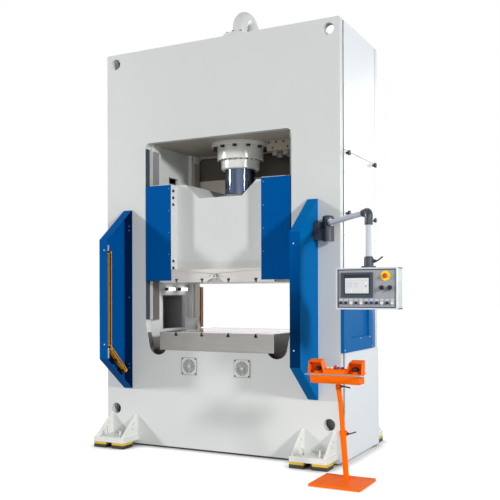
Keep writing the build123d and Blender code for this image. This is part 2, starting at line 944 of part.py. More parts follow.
def light_curtains():
    """Front light curtains inside both guards, with a short leaning one below each, and a rear pair."""
    x0 = guard_inner + curtain_inset
    flange = guard_front + guard_sheet
    y0 = flange + curtain_setback
    upright = curtain(x0, y0, curtain_foot, curtain_top)
    for z0, z1 in ((curtain_foot - curtain_strap_below, curtain_foot + curtain_strap_overlap),
                   (curtain_top - curtain_strap_overlap, curtain_top + curtain_strap_above)):
        upright += block(x0, x0 + curtain_strap_sheet, flange, flange + curtain_strap_width, z0, z1)
    rear_pair = curtain(half_window - rear_curtain_overhang, rear, rear_curtain_foot, rear_curtain_top)
    right = [upright, low_curtain(x0), rear_pair]
    return group(*right, *[other_side(piece) for piece in right])


def vent_plate(x):
    """Square plate on the bed front with a ring of radial slots of two lengths."""
    plate = Pos(x, vent_height) * RectangleRounded(vent_plate_size, vent_plate_size, 6)
    for n in range(vent_slot_count):
        inner = vent_ring_inner + (16 if n % 2 else 0)
        length = vent_ring_outer - inner
        slot = Rot(0, 0, n * 360 / vent_slot_count) * Pos((inner + vent_ring_outer) / 2, 0) * Rectangle(
            length, vent_slot_width)
        plate -= Pos(x, vent_height) * slot
    return front_profile(plate, front - vent_plate_thickness, front)


def vent_plates():
    """Both vent plates."""
    return group(vent_plate(-vent_spacing / 2), vent_plate(vent_spacing / 2))


def work_lamps():
    """Two lamps on each inner wall, above the side window."""
    lamps = []
    for y in lamp_centres:
        lamps.append(block(half_window - lamp_thickness, half_window, y - lamp_length / 2,
                           y + lamp_length / 2, lamp_height_up, lamp_height_up + lamp_height))
    return group(*lamps, *[other_side(lamp) for lamp in lamps])


def foot_span():
    """Inner and outer edge of a foot."""
    outer = half_width - foot_side_inset
    return outer - foot_width, outer


def foot():
    """Right front foot: thick plate with two gussets against the frame plate."""
    x0, x1 = foot_span()
    z0 = frame_foot + foot_plate_lift
    z1 = z0 + foot_plate_thickness
    plate = Pos((x0 + x1) / 2, front - foot_reach / 2, z0) * Box(
        foot_width, foot_reach, foot_plate_thickness, align=(Align.CENTER, Align.CENTER, Align.MIN))
    side = polygon((front, z1), (front - foot_reach + gusset_front_inset, z1),
                   (front - foot_reach + gusset_front_inset, z1 + gusset_front_height),
                   (front - gusset_top_width, z1 + gusset_height),
                   (front, z1 + gusset_height))
    for x in (x0 + gusset_inset, x1 - gusset_inset - gusset_thickness):
        plate += side_profile(side, x, x + gusset_thickness)
    for x, y in foot_bolt_spots():
        plate -= stud(x, y, z0 - 1, z1 + 1, foot_bolt_diameter + 2 * foot_bolt_hole_gap)
    return plate


def foot_bolt_spots():
    """Where the two levelling bolts of the right front foot stand."""
    x0, x1 = foot_span()
    y = front - foot_reach + pad_depth / 2
    return [(x0 + pad_width / 2 + gusset_thickness, y), (x1 - pad_width / 2 - gusset_thickness, y)]


def four_corners(pieces):
    """The pieces of the right front corner, repeated at all four corners."""
    front_pair = pieces + [other_side(piece) for piece in pieces]
    return group(*front_pair, *[other_end(piece) for piece in front_pair])


def foot_pads():
    """Steel-topped rubber pads on the floor, two to a foot."""
    x0, x1 = foot_span()
    y0 = front - foot_reach
    top = frame_foot + foot_plate_lift
    pads = [block(a, a + pad_width, y0, y0 + pad_depth, floor, top) for a in (x0, x1 - pad_width)]
    return four_corners(pads)


def foot_bolts():
    """Levelling bolts through the foot plates, each with its nut."""
    z0 = frame_foot + foot_plate_lift
    z1 = z0 + foot_plate_thickness
    bolts = []
    for x, y in foot_bolt_spots():
        bolt = stud(x, y, z0, z1 + foot_bolt_height, foot_bolt_diameter)
        nut = Pos(x, y, z1) * extrude(RegularPolygon(foot_bolt_nut / 2, 6), foot_bolt_nut_height)
        bolts.append(bolt + nut)
    return four_corners(bolts)


def pendant_bracket():
    """Grey open box on the frame front, with the arm's lower bearing and its pin beside it."""
    x1 = bracket_left + bracket_width
    y0 = front - bracket_depth
    z1 = bracket_foot + bracket_height
    bracket = block(bracket_left, x1, y0, front, bracket_foot, z1)
    bracket -= block(bracket_left - 1, x1 - bracket_wall, y0 + bracket_wall, front - bracket_wall,
                     bracket_foot + bracket_wall, z1 - bracket_wall)
    bracket += block(x1 - 1, pivot_x, y0 + 2 * bracket_wall, front, bracket_foot + bracket_wall,
                     bearing_split - bracket_wall)
    bracket += stud(pivot_x, pivot_y, bearing_foot, bearing_split, bearing_diameter)
    return bracket + stud(pivot_x, pivot_y, bearing_split - overrun, bearing_top - bearing_cap,
                          bearing_pin_diameter)


def pendant_arm():
    """Swinging head, aluminium tube, elbow and drop tube of the hanging panel's arm."""
    turn = degrees(atan2(arm_reach_y, arm_reach_x))
    reach = hypot(arm_reach_x, arm_reach_y)
    head = stud(0, 0, bearing_split + 1, bearing_top, bearing_diameter)
    head = fillet(head.edges().group_by(Axis.Z)[-1], head_round)
    head -= stud(0, 0, bearing_split, bearing_top - bearing_cap + overrun, bearing_pin_diameter + 2 * running_gap)
    side = bearing_diameter / 2
    collar = bar_x(0, arm_height, side - head_collar_root, side + head_collar_reach, elbow_collar_diameter)
    bend = reach - elbow_bend_radius
    tube = bar_x(0, arm_height, side + head_collar_root, bend - elbow_collar_length / 2, arm_tube_diameter)
    elbow = bar_x(0, arm_height, bend - elbow_collar_length, bend + overrun, elbow_collar_diameter)
    section = Plane(origin=(bend, 0, arm_height), z_dir=(1, 0, 0)) * Circle(elbow_diameter / 2)
    elbow += revolve(section, Axis((bend, 0, arm_height - elbow_bend_radius), (0, 1, 0)), 90)
    collar_foot = arm_height - elbow_drop
    elbow += stud(reach, 0, collar_foot, arm_height - elbow_bend_radius + overrun, elbow_collar_diameter)
    drop_foot = box_top + coupling_flange_height + coupling_height
    drop = stud(reach, 0, drop_foot, collar_foot + head_collar_root, drop_tube_diameter)
    pin = stud(reach, 0, drop_foot - coupling_pin_length, drop_foot + overrun, coupling_pin_diameter)
    return Pos(pivot_x, pivot_y, 0) * Rot(0, 0, turn) * (head + collar + tube + elbow + drop + pin)


def pendant_coupling():
    """Turning coupling on top of the control box, bored for the drop tube's pin."""
    x = pivot_x + arm_reach_x
    y = pivot_y + arm_reach_y
    z0 = box_top + coupling_flange_height
    z1 = z0 + coupling_height
    housing = stud(x, y, z0 - overrun, z1 - 1, coupling_diameter)
    housing = fillet(housing.edges().group_by(Axis.Z)[-1], coupling_round)
    body = housing + stud(x, y, box_top, z0, coupling_flange_diameter)
    lever_z = z0 + coupling_height / 2
    body += bar_x(y, lever_z, x, x + coupling_diameter / 2 + lever_boss, coupling_boss_diameter)
    return body - stud(x, y, z1 - coupling_pin_length - 1, z1 + overrun, coupling_pin_diameter + 2 * running_gap)


def clamp_lever(rise):
    """Clamp lever along +X: a hub on its axis and a slim handle that kinks upwards."""
    hub = bar_x(0, 0, 0, lever_hub_length, lever_hub_diameter)
    neck = bar_x(0, 0, lever_hub_length, lever_hub_length + 12, lever_diameter)
    handle = Pos(lever_hub_length + 8, 0, 0) * Rot(0, 90 - rise, 0) * Cylinder(
        lever_diameter / 2, lever_length, align=(Align.CENTER, Align.CENTER, Align.MIN))
    return hub + neck + handle


def coupling_lever():
    """Clamp lever on the right of the coupling."""
    z = box_top + coupling_flange_height + coupling_height / 2
    x = pivot_x + arm_reach_x + coupling_diameter / 2 + lever_boss
    return Pos(x, pivot_y + arm_reach_y, z) * clamp_lever(35)


def box_left():
    """Left side of the control box."""
    return pivot_x + arm_reach_x - box_width / 2


def box_front():
    """Front face of the control box."""
    return pivot_y + arm_reach_y - box_depth / 2


def selector_spots():
    """Places of the two turn switches on the control box."""
    right = box_left() + box_width
    return [(right - inset, box_top - selector_drops) for inset in selector_insets]


def estop_spot():
    """Place of the stop button on the control box."""
    return box_left() + box_width - estop_inset, box_top - estop_drop


def control_box():
    """Hollow control box in an aluminium frame, with its stop plate, row of push buttons and labels."""
    x0 = box_left()
    x1 = x0 + box_width
    y0 = box_front()
    y1 = y0 + box_depth
    z0 = box_top - box_height
    shell = block(x0, x1, y0, y1, z0, box_top)
    shell -= block(x0 + box_wall, x1 - box_wall, y0 + box_frame_depth + box_wall, y1 - box_wall,
                   z0 + box_wall, box_top - box_wall)
    shell -= block(x0 + box_frame, x1 - box_frame, y0 - 1, y0 + box_frame_depth,
                   z0 + box_frame, box_top - box_frame)
    plate_y = y0 + box_frame_depth
    ex, ez = estop_spot()
    shell += bar_y(ex, ez, plate_y - estop_plate_thickness, plate_y + 1, estop_plate_diameter)
    shell -= bar_y(ex, ez, plate_y - estop_plate_thickness - 1, plate_y + box_wall + 1,
                   estop_stem_diameter + 2 * seat_gap)
    for x, z in selector_spots():
        shell -= bar_y(x, z, plate_y - 1, plate_y + box_wall + 1, selector_shaft_diameter + 2 * seat_gap)
    spread = box_width - 2 * button_row_inset
    for n in range(button_count):
        x = x0 + button_row_inset + n * spread / (button_count - 1)
        z = z0 + button_row_height
        shell += bar_y(x, z, plate_y - button_length, plate_y + 1, button_diameter)
        shell += block(x - label_width / 2, x + label_width / 2, plate_y - label_thickness, plate_y + 1,
                       z + label_lift - label_height / 2, z + label_lift + label_height / 2)
    return shell


def control_display():
    """Touch panel with a raised bezel on the control box."""
    x0 = box_left() + display_left
    z1 = box_top - display_top
    plate_y = box_front() + box_frame_depth
    y0 = plate_y - display_bezel
    body = block(x0, x0 + display_width, y0, plate_y, z1 - display_height, z1)
    gap = display_window_gap
    return body - block(x0 + gap, x0 + display_width - gap, y0 - 1, y0 + 2, z1 - display_height + gap, z1 - gap)


def mushroom(diameter, stem_diameter, head_length, stem_length):
    """Domed head on its stem, pointing along -Z towards the stem's foot."""
    half = diameter / 2
    rim = head_length * mushroom_rim_share
    rise = head_length - rim
    dome = (half ** 2 + rise ** 2) / (2 * rise)
    turn = atan2(half, dome - rise) / 2
    crest = (dome * sin(turn), head_length - dome + dome * cos(turn))
    sides = Polyline((0, head_length), (0, -stem_length), (stem_diameter / 2, -stem_length), (stem_diameter / 2, 0),
                     (half - mushroom_chamfer, 0), (half, rim))
    return revolve(Plane.XZ * make_face(sides + ThreePointArc((half, rim), crest, (0, head_length))), Axis.Z)


def control_estop():
    """Stop button of the control box: red mushroom head, its stem goes through the panel."""
    ex, ez = estop_spot()
    plate_y = box_front() + box_frame_depth
    seat = plate_y - estop_plate_thickness - 12
    return Pos(ex, seat, ez) * Rot(90, 0, 0) * mushroom(estop_head_diameter, estop_stem_diameter,
                                                        estop_head_length, 12 + estop_plate_thickness + 12)


def selector(x, z):
    """Turn switch: round base, grip bar and the shaft that passes the panel."""
    plate_y = box_front() + box_frame_depth
    y0 = plate_y - 0.3
    knob = bar_y(x, z, y0 - selector_base_length, y0, selector_base_diameter)
    knob += bar_y(x, z, y0 - selector_base_length - selector_knob_length / 2, y0 - selector_base_length + 1,
                  selector_diameter)
    knob += block(x - selector_grip_width / 2, x + selector_grip_width / 2,
                  y0 - selector_base_length - selector_knob_length, y0 - selector_base_length,
                  z - selector_diameter / 2 - 4, z + selector_diameter / 2)
    return knob + bar_y(x, z, y0 - 1, plate_y + box_wall + 8, selector_shaft_diameter)


def leaned(angle, shape, x, y, z):
    """Tips a shape that stands on the origin towards the operator and sets it in place."""
    return Pos(x, y, z) * Rot(angle, 0, 0) * shape


def stand_foot_y():
    """Where the stand's tube leaves its plate."""
    return stand_y + stand_foot_setback


def stand_base():
    """Orange foot plate with folded edges, the leaning tube, its collar and two bolts."""
    top = floor + stand_plate_skirt
    x0 = stand_x - stand_plate_width / 2
    y0 = stand_y - stand_plate_depth / 2
    plate = block(x0, x0 + stand_plate_width, y0, y0 + stand_plate_depth, floor, top)
    plate -= block(x0 + stand_plate_sheet, x0 + stand_plate_width - stand_plate_sheet, y0 + stand_plate_sheet,
                   y0 + stand_plate_depth - stand_plate_sheet, floor - 1, top - stand_plate_sheet)
    tube = stud(0, 0, 0, stand_lower_length, stand_tube_diameter)
    tube += stud(0, 0, stand_lower_length - stand_collar_height, stand_lower_length, stand_collar_diameter)
    lug_x = stand_collar_diameter / 2 + 6
    tube += block(0, lug_x, -14, 14, stand_lower_length - stand_collar_height, stand_lower_length)
    bore = stud(0, 0, 20, stand_lower_length + 1, stand_post_diameter + 2 * running_gap)
    post = leaned(stand_lean, tube - bore, stand_x, stand_foot_y(), top - stand_weld)
    bolts = [stud(stand_x + a, stand_foot_y() + 40, top, top + stand_bolt_head, stand_bolt_diameter)
             for a in (-22, 22)]
    post_only = post - block(x0, x0 + stand_plate_width, y0, y0 + stand_plate_depth, floor - 40, top - stand_plate_sheet / 2)
    return plate + post_only + bolts[0] + bolts[1]


def neck_place():
    """Depth and height of the post's bend and of the neck's end, at the resting height."""
    bend_rise = stand_bend_height - stand_plate_skirt + stand_weld
    bend_y = stand_foot_y() - bend_rise * tan(radians(stand_lean))
    bend_z = floor + stand_bend_height
    neck = radians(stand_neck_lean)
    return bend_y, bend_z, bend_y - stand_neck_length * sin(neck), bend_z + stand_neck_length * cos(neck)


def stand_post():
    """Upper tube that slides in the lower one, bent forwards, with a fork for the console's hub."""
    bend_y, bend_z, end_y, end_z = neck_place()
    insert = stand_lower_length - stand_overlap
    lean = radians(stand_lean)
    start_y = stand_foot_y() - insert * sin(lean)
    start_z = floor + stand_plate_skirt - stand_weld + insert * cos(lean)
    path = FilletPolyline((stand_x, start_y, start_z), (stand_x, bend_y, bend_z), (stand_x, end_y, end_z),
                          radius=stand_bend_radius)
    start = Plane(origin=path @ 0, z_dir=path % 0)
    ring = Circle(stand_post_diameter / 2) - Circle(stand_post_diameter / 2 - stand_post_wall)
    tube = sweep(start * ring, path=path)
    half = tilt_hub_length / 2
    outer = half + fork_cheek
    root_z = stand_neck_length - fork_root
    fork = block(-outer, outer, -tilt_hub_diameter / 2, tilt_hub_diameter / 2, root_z, stand_neck_length + hub_rise)
    fork += bar_x(0, stand_neck_length + hub_rise, -outer, outer, tilt_hub_diameter)
    slot_half = half + fork_gap
    fork -= block(-slot_half, slot_half, -tilt_hub_diameter, tilt_hub_diameter,
                  stand_neck_length + hub_rise - tilt_hub_diameter / 2 - fork_gap,
                  stand_neck_length + hub_rise + tilt_hub_diameter)
    fork += stud(0, 0, root_z, stand_neck_length, stand_post_diameter)
    fork = leaned(stand_neck_lean, fork, stand_x, bend_y, bend_z)
    hub_y, hub_z = hub_place()
    pin = bar_x(hub_y, hub_z, stand_x - outer - pin_overhang, stand_x + outer + pin_overhang, tilt_pin_diameter)
    return tube + fork + pin


def hub_place():
    """Depth and height of the console's tilting axis."""
    end_y, end_z = neck_place()[2:]
    neck = radians(stand_neck_lean)
    return end_y - hub_rise * sin(neck), end_z + hub_rise * cos(neck)


def console_y():
    """Middle depth of the console's housing."""
    return hub_place()[0] - console_reach


def console_foot():
    """Underside of the console's housing."""
    return hub_place()[1] + console_lift


def console_x():
    """Middle of the console."""
    return stand_x


def hood(side):
    """Bent sheet hood over a palm button: open to the front, with a rising roof and a leaning inner cheek."""
    y0 = console_y() - console_body_depth / 2
    z1 = console_foot() + console_body_height
    foot = z1 - console_ledge
    outer = palm_spot(side)[0] + side * hood_width / 2
    inner = palm_spot(side)[0] - side * hood_width / 2
    sheet = side * console_sheet
    roof_slope = (hood_rear_height - hood_front_height) / (hood_rear - hood_front)
    front_top = z1 + hood_front_height
    rear_top = z1 + hood_rear_height
    outline = polygon((y0 + hood_front_foot, foot), (y0 + hood_front, front_top), (y0 + hood_rear, rear_top),
                      (y0 + hood_rear, foot))
    cheeks = polygon((outer, foot), (inner, foot), (inner + side * hood_cheek_lean, rear_top), (outer, rear_top))
    shell = side_profile(outline, min(inner, outer), max(inner, outer))
    shell &= front_profile(cheeks, y0, y0 + hood_rear)
    hollow = polygon((y0, foot - overrun), (y0, front_top - hood_front * roof_slope - console_sheet),
                     (y0 + hood_rear - console_sheet, rear_top - console_sheet * (1 + roof_slope)),
                     (y0 + hood_rear - console_sheet, foot - overrun))
    space = polygon((outer - sheet, foot - overrun), (inner + sheet, foot - overrun),
                    (inner + sheet + side * hood_cheek_lean, rear_top), (outer - sheet, rear_top))
    room = side_profile(hollow, min(inner, outer), max(inner, outer))
    return shell - (room & front_profile(space, y0, y0 + hood_rear))


def console_body():
    """Orange console housing with its two hoods, the rings of its buttons and their holes."""
    x = console_x()
    y0 = console_y() - console_body_depth / 2
    y1 = console_y() + console_body_depth / 2
    z0 = console_foot()
    z1 = console_foot() + console_body_height
    section = polygon((y0 + console_front_undercut, z0), (y1, z0), (y1, z1), (y0 + console_front_chamfer, z1),
                      (y0, z1 - console_ledge))
    body = side_profile(section, x - console_body_width / 2, x + console_body_width / 2)
    body -= side_profile(offset(section, -console_sheet), x - console_body_width / 2 + console_sheet,
                         x + console_body_width / 2 - console_sheet)
    ledge_z = z1 - console_ledge
    for side in (-1, 1):
        palm_x, palm_y = palm_spot(side)
        inner = palm_x - hood_width / 2
        wall = palm_x - side * hood_width / 2
        body -= block(inner, inner + hood_width, y0 - overrun, y1 + overrun, ledge_z, z1 + overrun)
        body += block(inner, inner + hood_width, y0, y1, ledge_z - console_sheet, ledge_z)
        body += block(wall - console_sheet / 2, wall + console_sheet / 2, y0 + console_front_chamfer, y1,
                      ledge_z - console_sheet, z1)
        body += hood(side)
        body += stud(palm_x, palm_y, ledge_z, ledge_z + palm_ring_height, palm_ring_diameter)
        body -= stud(palm_x, palm_y, ledge_z - 2 * console_sheet, ledge_z + palm_ring_height + overrun,
                     palm_stem_diameter + 2 * seat_gap)
    for spot in small_button_spots:
        body += stud(x + spot, small_row_y(), z1, z1 + small_ring_height, small_ring_diameter)
        body -= stud(x + spot, small_row_y(), z1 - 2 * console_sheet, z1 + small_ring_height + overrun,
                     small_button_stem + 2 * seat_gap)
    return body - stud(x + stop_spot, small_row_y() + stop_set_back, z1 - 2 * console_sheet, z1 + overrun,
                       estop_stem_diameter + 2 * seat_gap)


def console_hub():
    """Bracket under the console's housing, bored for the tilting pin."""
    hub_y, hub_z = hub_place()
    half = tilt_hub_length / 2
    hub = bar_x(hub_y, hub_z, stand_x - half, stand_x + half, tilt_hub_diameter)
    hub += block(stand_x - half, stand_x + half, hub_y - hub_web / 2, hub_y + hub_web / 2, hub_z, console_foot())
    return hub - bar_x(hub_y, hub_z, stand_x - tilt_hub_length, stand_x + tilt_hub_length,
                       tilt_pin_diameter + 2 * running_gap)


def palm_spot(side):
    """Middle of a palm button."""
    x = console_x() + side * (console_body_width / 2 + hood_outset - hood_width / 2)
    return x, console_y() - 4


def palm_button(side):
    """Black palm button under its hood."""
    x, y = palm_spot(side)
    z = console_foot() + console_body_height - console_ledge + palm_ring_height + palm_travel + 2
    return Pos(x, y, z) * mushroom(palm_diameter, palm_stem_diameter, palm_height, palm_travel + palm_ring_height + 12)


def small_row_y():
    """Depth of the console's small buttons."""
    return console_y() - 8


def small_button(spot):
    """Small push button on the console's top."""
    z1 = console_foot() + console_body_height
    x = console_x() + spot
    button = stud(x, small_row_y(), z1 + small_button_rise, z1 + small_button_length, small_button_diameter)
    return button + stud(x, small_row_y(), z1 - small_button_length, z1 + small_button_rise + overrun,
                         small_button_stem)


def console_estop():
    """Red stop button of the console."""
    z1 = console_foot() + console_body_height
    return Pos(console_x() + stop_spot, small_row_y() + stop_set_back, z1 + 8) * mushroom(
        stop_head_diameter, estop_stem_diameter, stop_head_height, 22)


def console_rail():
    """Bent silver rail in front of the console, fixed to both ends of the housing."""
    x = console_x()
    y0 = console_y() - console_body_depth / 2 - rail_reach
    y1 = console_y() + 10
    z = console_foot() + console_body_height - 58
    z_front = z + rail_drop
    half = rail_half
    path = FilletPolyline((x - console_body_width / 2, y1, z), (x - half, y1, z), (x - half, y0, z_front),
                          (x + half, y0, z_front), (x + half, y1, z), (x + console_body_width / 2, y1, z),
                          radius=[rail_root_corner, rail_corner, rail_corner, rail_root_corner])
    start = Plane(origin=path @ 0, z_dir=path % 0)
    return sweep(start * Circle(rail_diameter / 2), path=path)


def post_lever():
    """Clamp lever on the lower tube's collar."""
    local = Pos(stand_collar_diameter / 2 + 6, 0, stand_lower_length - stand_collar_height / 2) * clamp_lever(20)
    return leaned(stand_lean, local, stand_x, stand_foot_y(), floor + stand_plate_skirt - stand_weld)


def tilt_lever():
    """Clamp lever on the console's tilting axis."""
    hub_y, hub_z = hub_place()
    return Pos(stand_x + tilt_hub_length / 2 + fork_cheek + pin_overhang, hub_y, hub_z) * clamp_lever(-8)


parts["front_frame_plate"] = frame_plate(front, inner_front, True)
parts["rear_frame_plate"] = frame_plate(inner_rear, rear, False)
parts["crown_box"] = crown_box()
parts["bed_box"] = bed_box()
parts["right_column_box"] = column_box()
parts["left_column_box"] = other_side(column_box())
parts["table_plate"] = table()
parts["guide_rails"] = guide_rails()
parts["ram_slide"] = ram_slide()
parts["ram_platen"] = ram_platen()
parts["ram_covers"] = both_sides(ram_cover())
parts["guide_shoes"] = guide_shoes()
parts["ram_bolts"] = ram_bolts()
parts["rod_clamp_ring"] = clamp_ring()
parts["piston_rod"] = piston_rod()
parts["main_cylinder"] = main_cylinder()
parts["cylinder_gland"] = cylinder_gland()
parts["cylinder_bolts"] = cylinder_bolts()
parts["suction_pipe"] = suction_pipe()
top_panel_end = frame_top - panel_end_gap
parts["upper_side_panels"] = both_sides(plain_panel(panel_split_upper + panel_joint / 2, top_panel_end))
middle_panel = plain_panel(panel_split_middle + panel_joint / 2, panel_split_upper - panel_joint / 2)
parts["middle_side_panels"] = both_sides(middle_panel)
parts["right_vent_panel"] = vent_panel()
parts["right_base_panel"] = base_panel()
left_lower_end = panel_split_middle - panel_joint / 2
parts["left_lower_panel"] = other_side(plain_panel(frame_foot + panel_end_gap, left_lower_end))
parts["panel_knobs"] = panel_knobs()
parts["oil_tank"] = oil_tank()
parts["motor_pump"] = motor_pump()
parts["valve_block"] = valve_block()
parts["rear_upper_panel"] = rear_panel()
parts["right_guard"] = guard()
parts["left_guard"] = other_side(guard())
parts["light_curtains"] = light_curtains()
parts["vent_plates"] = vent_plates()
parts["work_lamps"] = work_lamps()
parts["feet"] = four_corners([foot()])
parts["foot_pads"] = foot_pads()
parts["foot_bolts"] = foot_bolts()
parts["pendant_bracket"] = pendant_bracket()
parts["pendant_arm"] = pendant_arm()
parts["pendant_coupling"] = pendant_coupling()
parts["coupling_lever"] = coupling_lever()
parts["control_box"] = control_box()
parts["control_display"] = control_display()
parts["control_estop"] = control_estop()
for name, place in zip(("left_selector", "right_selector"), selector_spots()):
    parts[name] = selector(*place)
parts["stand_base"] = stand_base()
parts["stand_post"] = stand_post()
parts["console_body"] = console_body()
parts["console_hub"] = console_hub()
parts["console_rail"] = console_rail()
parts["left_palm_button"] = palm_button(-1)
parts["right_palm_button"] = palm_button(1)
parts["console_estop"] = console_estop()
for number, spot in enumerate(small_button_spots, start=1):
    parts[f"console_button_{number}"] = small_button(spot)
parts["post_lever"] = post_lever()
parts["tilt_lever"] = tilt_lever()

os.makedirs("parts", exist_ok=True)
for name, shape in parts.items():
    export_step(shape, f"parts/{name}.step")
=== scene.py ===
from math import atan2, cos, hypot, pi, radians, sin

import bmesh
import bpy
from mathutils import Matrix, Vector


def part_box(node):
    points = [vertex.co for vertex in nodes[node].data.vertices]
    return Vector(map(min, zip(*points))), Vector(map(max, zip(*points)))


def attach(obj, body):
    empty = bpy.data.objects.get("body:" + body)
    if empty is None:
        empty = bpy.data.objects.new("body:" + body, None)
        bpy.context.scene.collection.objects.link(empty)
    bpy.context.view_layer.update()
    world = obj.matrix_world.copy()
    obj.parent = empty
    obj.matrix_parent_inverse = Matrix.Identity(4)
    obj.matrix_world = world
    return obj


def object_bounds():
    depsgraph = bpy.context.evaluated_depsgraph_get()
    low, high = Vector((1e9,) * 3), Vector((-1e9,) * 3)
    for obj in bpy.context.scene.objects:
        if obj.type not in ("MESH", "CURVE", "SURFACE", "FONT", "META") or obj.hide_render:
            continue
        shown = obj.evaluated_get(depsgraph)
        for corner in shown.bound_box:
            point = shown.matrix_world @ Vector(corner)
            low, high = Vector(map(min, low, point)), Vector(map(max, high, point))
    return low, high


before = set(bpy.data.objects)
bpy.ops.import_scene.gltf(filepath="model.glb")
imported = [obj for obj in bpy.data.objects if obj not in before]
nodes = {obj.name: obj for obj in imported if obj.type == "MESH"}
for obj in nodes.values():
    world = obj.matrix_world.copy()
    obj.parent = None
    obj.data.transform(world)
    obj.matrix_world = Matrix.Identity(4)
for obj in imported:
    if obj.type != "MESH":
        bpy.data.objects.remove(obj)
cad_bounds = [list(corner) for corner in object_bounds()]
scene = bpy.context.scene

# All lengths and places are in metres, in the frame's own axes.

EDGE_SOFTNESS = 0.0002
NOISE_LOW, NOISE_HIGH = 0.25, 0.75


def tone(red, green, blue):
    """Linear colour from screen values of 0 to 255."""
    channels = []
    for value in (red, green, blue):
        share = value / 255
        channels.append(share / 12.92 if share <= 0.04045 else ((share + 0.055) / 1.055) ** 2.4)
    return (*channels, 1.0)


class Finish:
    """A procedural material that is built up one effect at a time."""

    def __init__(self, name, colour, roughness, metallic=0.0, **constants):
        self.material = bpy.data.materials.new(name)
        self.material.use_nodes = True
        self.tree = self.material.node_tree
        self.shader = self.tree.nodes["Principled BSDF"]
        self.shader.inputs["Metallic"].default_value = metallic
        for label, value in constants.items():
            self.shader.inputs[label.replace("_", " ")].default_value = value
        self.place = self.tree.nodes.new("ShaderNodeTexCoord").outputs["Object"]
        self.colour = colour
        self.roughness = roughness
        self.normal = None

    def feed(self, socket, value):
        """Links a socket, or sets a constant."""
        if isinstance(value, bpy.types.NodeSocket):
            self.tree.links.new(value, socket)
        else:
            socket.default_value = value

    def maths(self, operation, first, second=0.0):
        step = self.tree.nodes.new("ShaderNodeMath")
        step.operation = operation
        self.feed(step.inputs[0], first)
        self.feed(step.inputs[1], second)
        return step.outputs[0]

    def noise(self, scale, detail=2.0, stretch=(1, 1, 1)):
        """Noise of about 0 to 1 around 0.5; stretch multiplies the coordinates."""
        place = self.place
        if stretch != (1, 1, 1):
            scaled = self.tree.nodes.new("ShaderNodeVectorMath")
            scaled.operation = "MULTIPLY"
            self.tree.links.new(self.place, scaled.inputs[0])
            scaled.inputs[1].default_value = stretch
            place = scaled.outputs[0]
        texture = self.tree.nodes.new("ShaderNodeTexNoise")
        self.tree.links.new(place, texture.inputs["Vector"])
        texture.inputs["Scale"].default_value = scale
        texture.inputs["Detail"].default_value = detail
        return texture.outputs["Fac"]

    def spread(self, value, low, high, to_low=0.0, to_high=1.0):
        """Maps low..high to another range, clamped."""
        step = self.tree.nodes.new("ShaderNodeMapRange")
        self.feed(step.inputs["Value"], value)
        step.inputs["From Min"].default_value = low
        step.inputs["From Max"].default_value = high
        step.inputs["To Min"].default_value = to_low
        step.inputs["To Max"].default_value = to_high
        return step.outputs["Result"]

    def axis(self, letter):
        """One coordinate of the place on the object."""
        split = self.tree.nodes.new("ShaderNodeSeparateXYZ")
        self.tree.links.new(self.place, split.inputs[0])
        return split.outputs[letter]

    def side(self):
        """Distance from the press's middle plane, the same on both sides."""
        return self.maths("ABSOLUTE", self.axis("X"))

    def along(self, origin, direction):
        """Distance from a point along a direction."""
        moved = self.tree.nodes.new("ShaderNodeVectorMath")
        moved.operation = "SUBTRACT"
        self.tree.links.new(self.place, moved.inputs[0])
        moved.inputs[1].default_value = origin
        dot = self.tree.nodes.new("ShaderNodeVectorMath")
        dot.operation = "DOT_PRODUCT"
        self.tree.links.new(moved.outputs[0], dot.inputs[0])
        dot.inputs[1].default_value = direction
        return dot.outputs["Value"]

    def above(self, value, edge, soft=EDGE_SOFTNESS):
        """1 where the value is over the edge, 0 below it."""
        return self.spread(value, edge - soft, edge + soft)

    def below(self, value, edge):
        """1 where the value is under the edge, 0 over it."""
        return self.off(self.above(value, edge))

    def within(self, value, low, high):
        """1 between two values, 0 outside them."""
        return self.both(self.above(value, low), self.below(value, high))

    def both(self, first, second):
        return self.maths("MULTIPLY", first, second)

    def either(self, first, second):
        return self.maths("MAXIMUM", first, second)

    def off(self, value):
        return self.maths("SUBTRACT", 1.0, value)

    def patch(self, across, up):
        """1 inside a rectangle of the front view, from its limits in X and in Z."""
        return self.both(self.within(self.axis("X"), *across), self.within(self.axis("Z"), *up))

    def disc(self, x, z, radius):
        """1 inside a circle of the front view."""
        aside = self.maths("SUBTRACT", self.axis("X"), x)
        rise = self.maths("SUBTRACT", self.axis("Z"), z)
        square = self.maths("ADD", self.both(aside, aside), self.both(rise, rise))
        return self.maths("LESS_THAN", square, radius * radius)

    def mix(self, factor, first, second):
        step = self.tree.nodes.new("ShaderNodeMix")
        step.data_type = "RGBA"
        factor_input, first_colour, second_colour, colour_output = 0, 6, 7, 2
        self.feed(step.inputs[factor_input], factor)
        self.feed(step.inputs[first_colour], first)
        self.feed(step.inputs[second_colour], second)
        return step.outputs[colour_output]

    def tint(self, factor, colour):
        """Lays another colour over the finish where the factor is 1."""
        self.colour = self.mix(factor, self.colour, colour)
        return self

    def mottle(self, amount, scale, stretch=(1, 1, 1)):
        """Makes the colour a little lighter and darker from place to place."""
        noise = self.noise(scale, 3.0, stretch)
        level = self.spread(noise, NOISE_LOW, NOISE_HIGH, 1 - amount, 1 + amount)
        bright = self.tree.nodes.new("ShaderNodeVectorMath")
        bright.operation = "SCALE"
        self.feed(bright.inputs[0], self.colour if not isinstance(self.colour, tuple) else self.colour[:3])
        self.tree.links.new(level, bright.inputs["Scale"])
        self.colour = bright.outputs[0]
        return self

    def vary_gloss(self, amount, scale, stretch=(1, 1, 1)):
        """Varies the roughness around its value."""
        noise = self.noise(scale, 3.0, stretch)
        low, high = self.roughness - amount, self.roughness + amount
        self.roughness = self.spread(noise, NOISE_LOW, NOISE_HIGH, low, high)
        return self

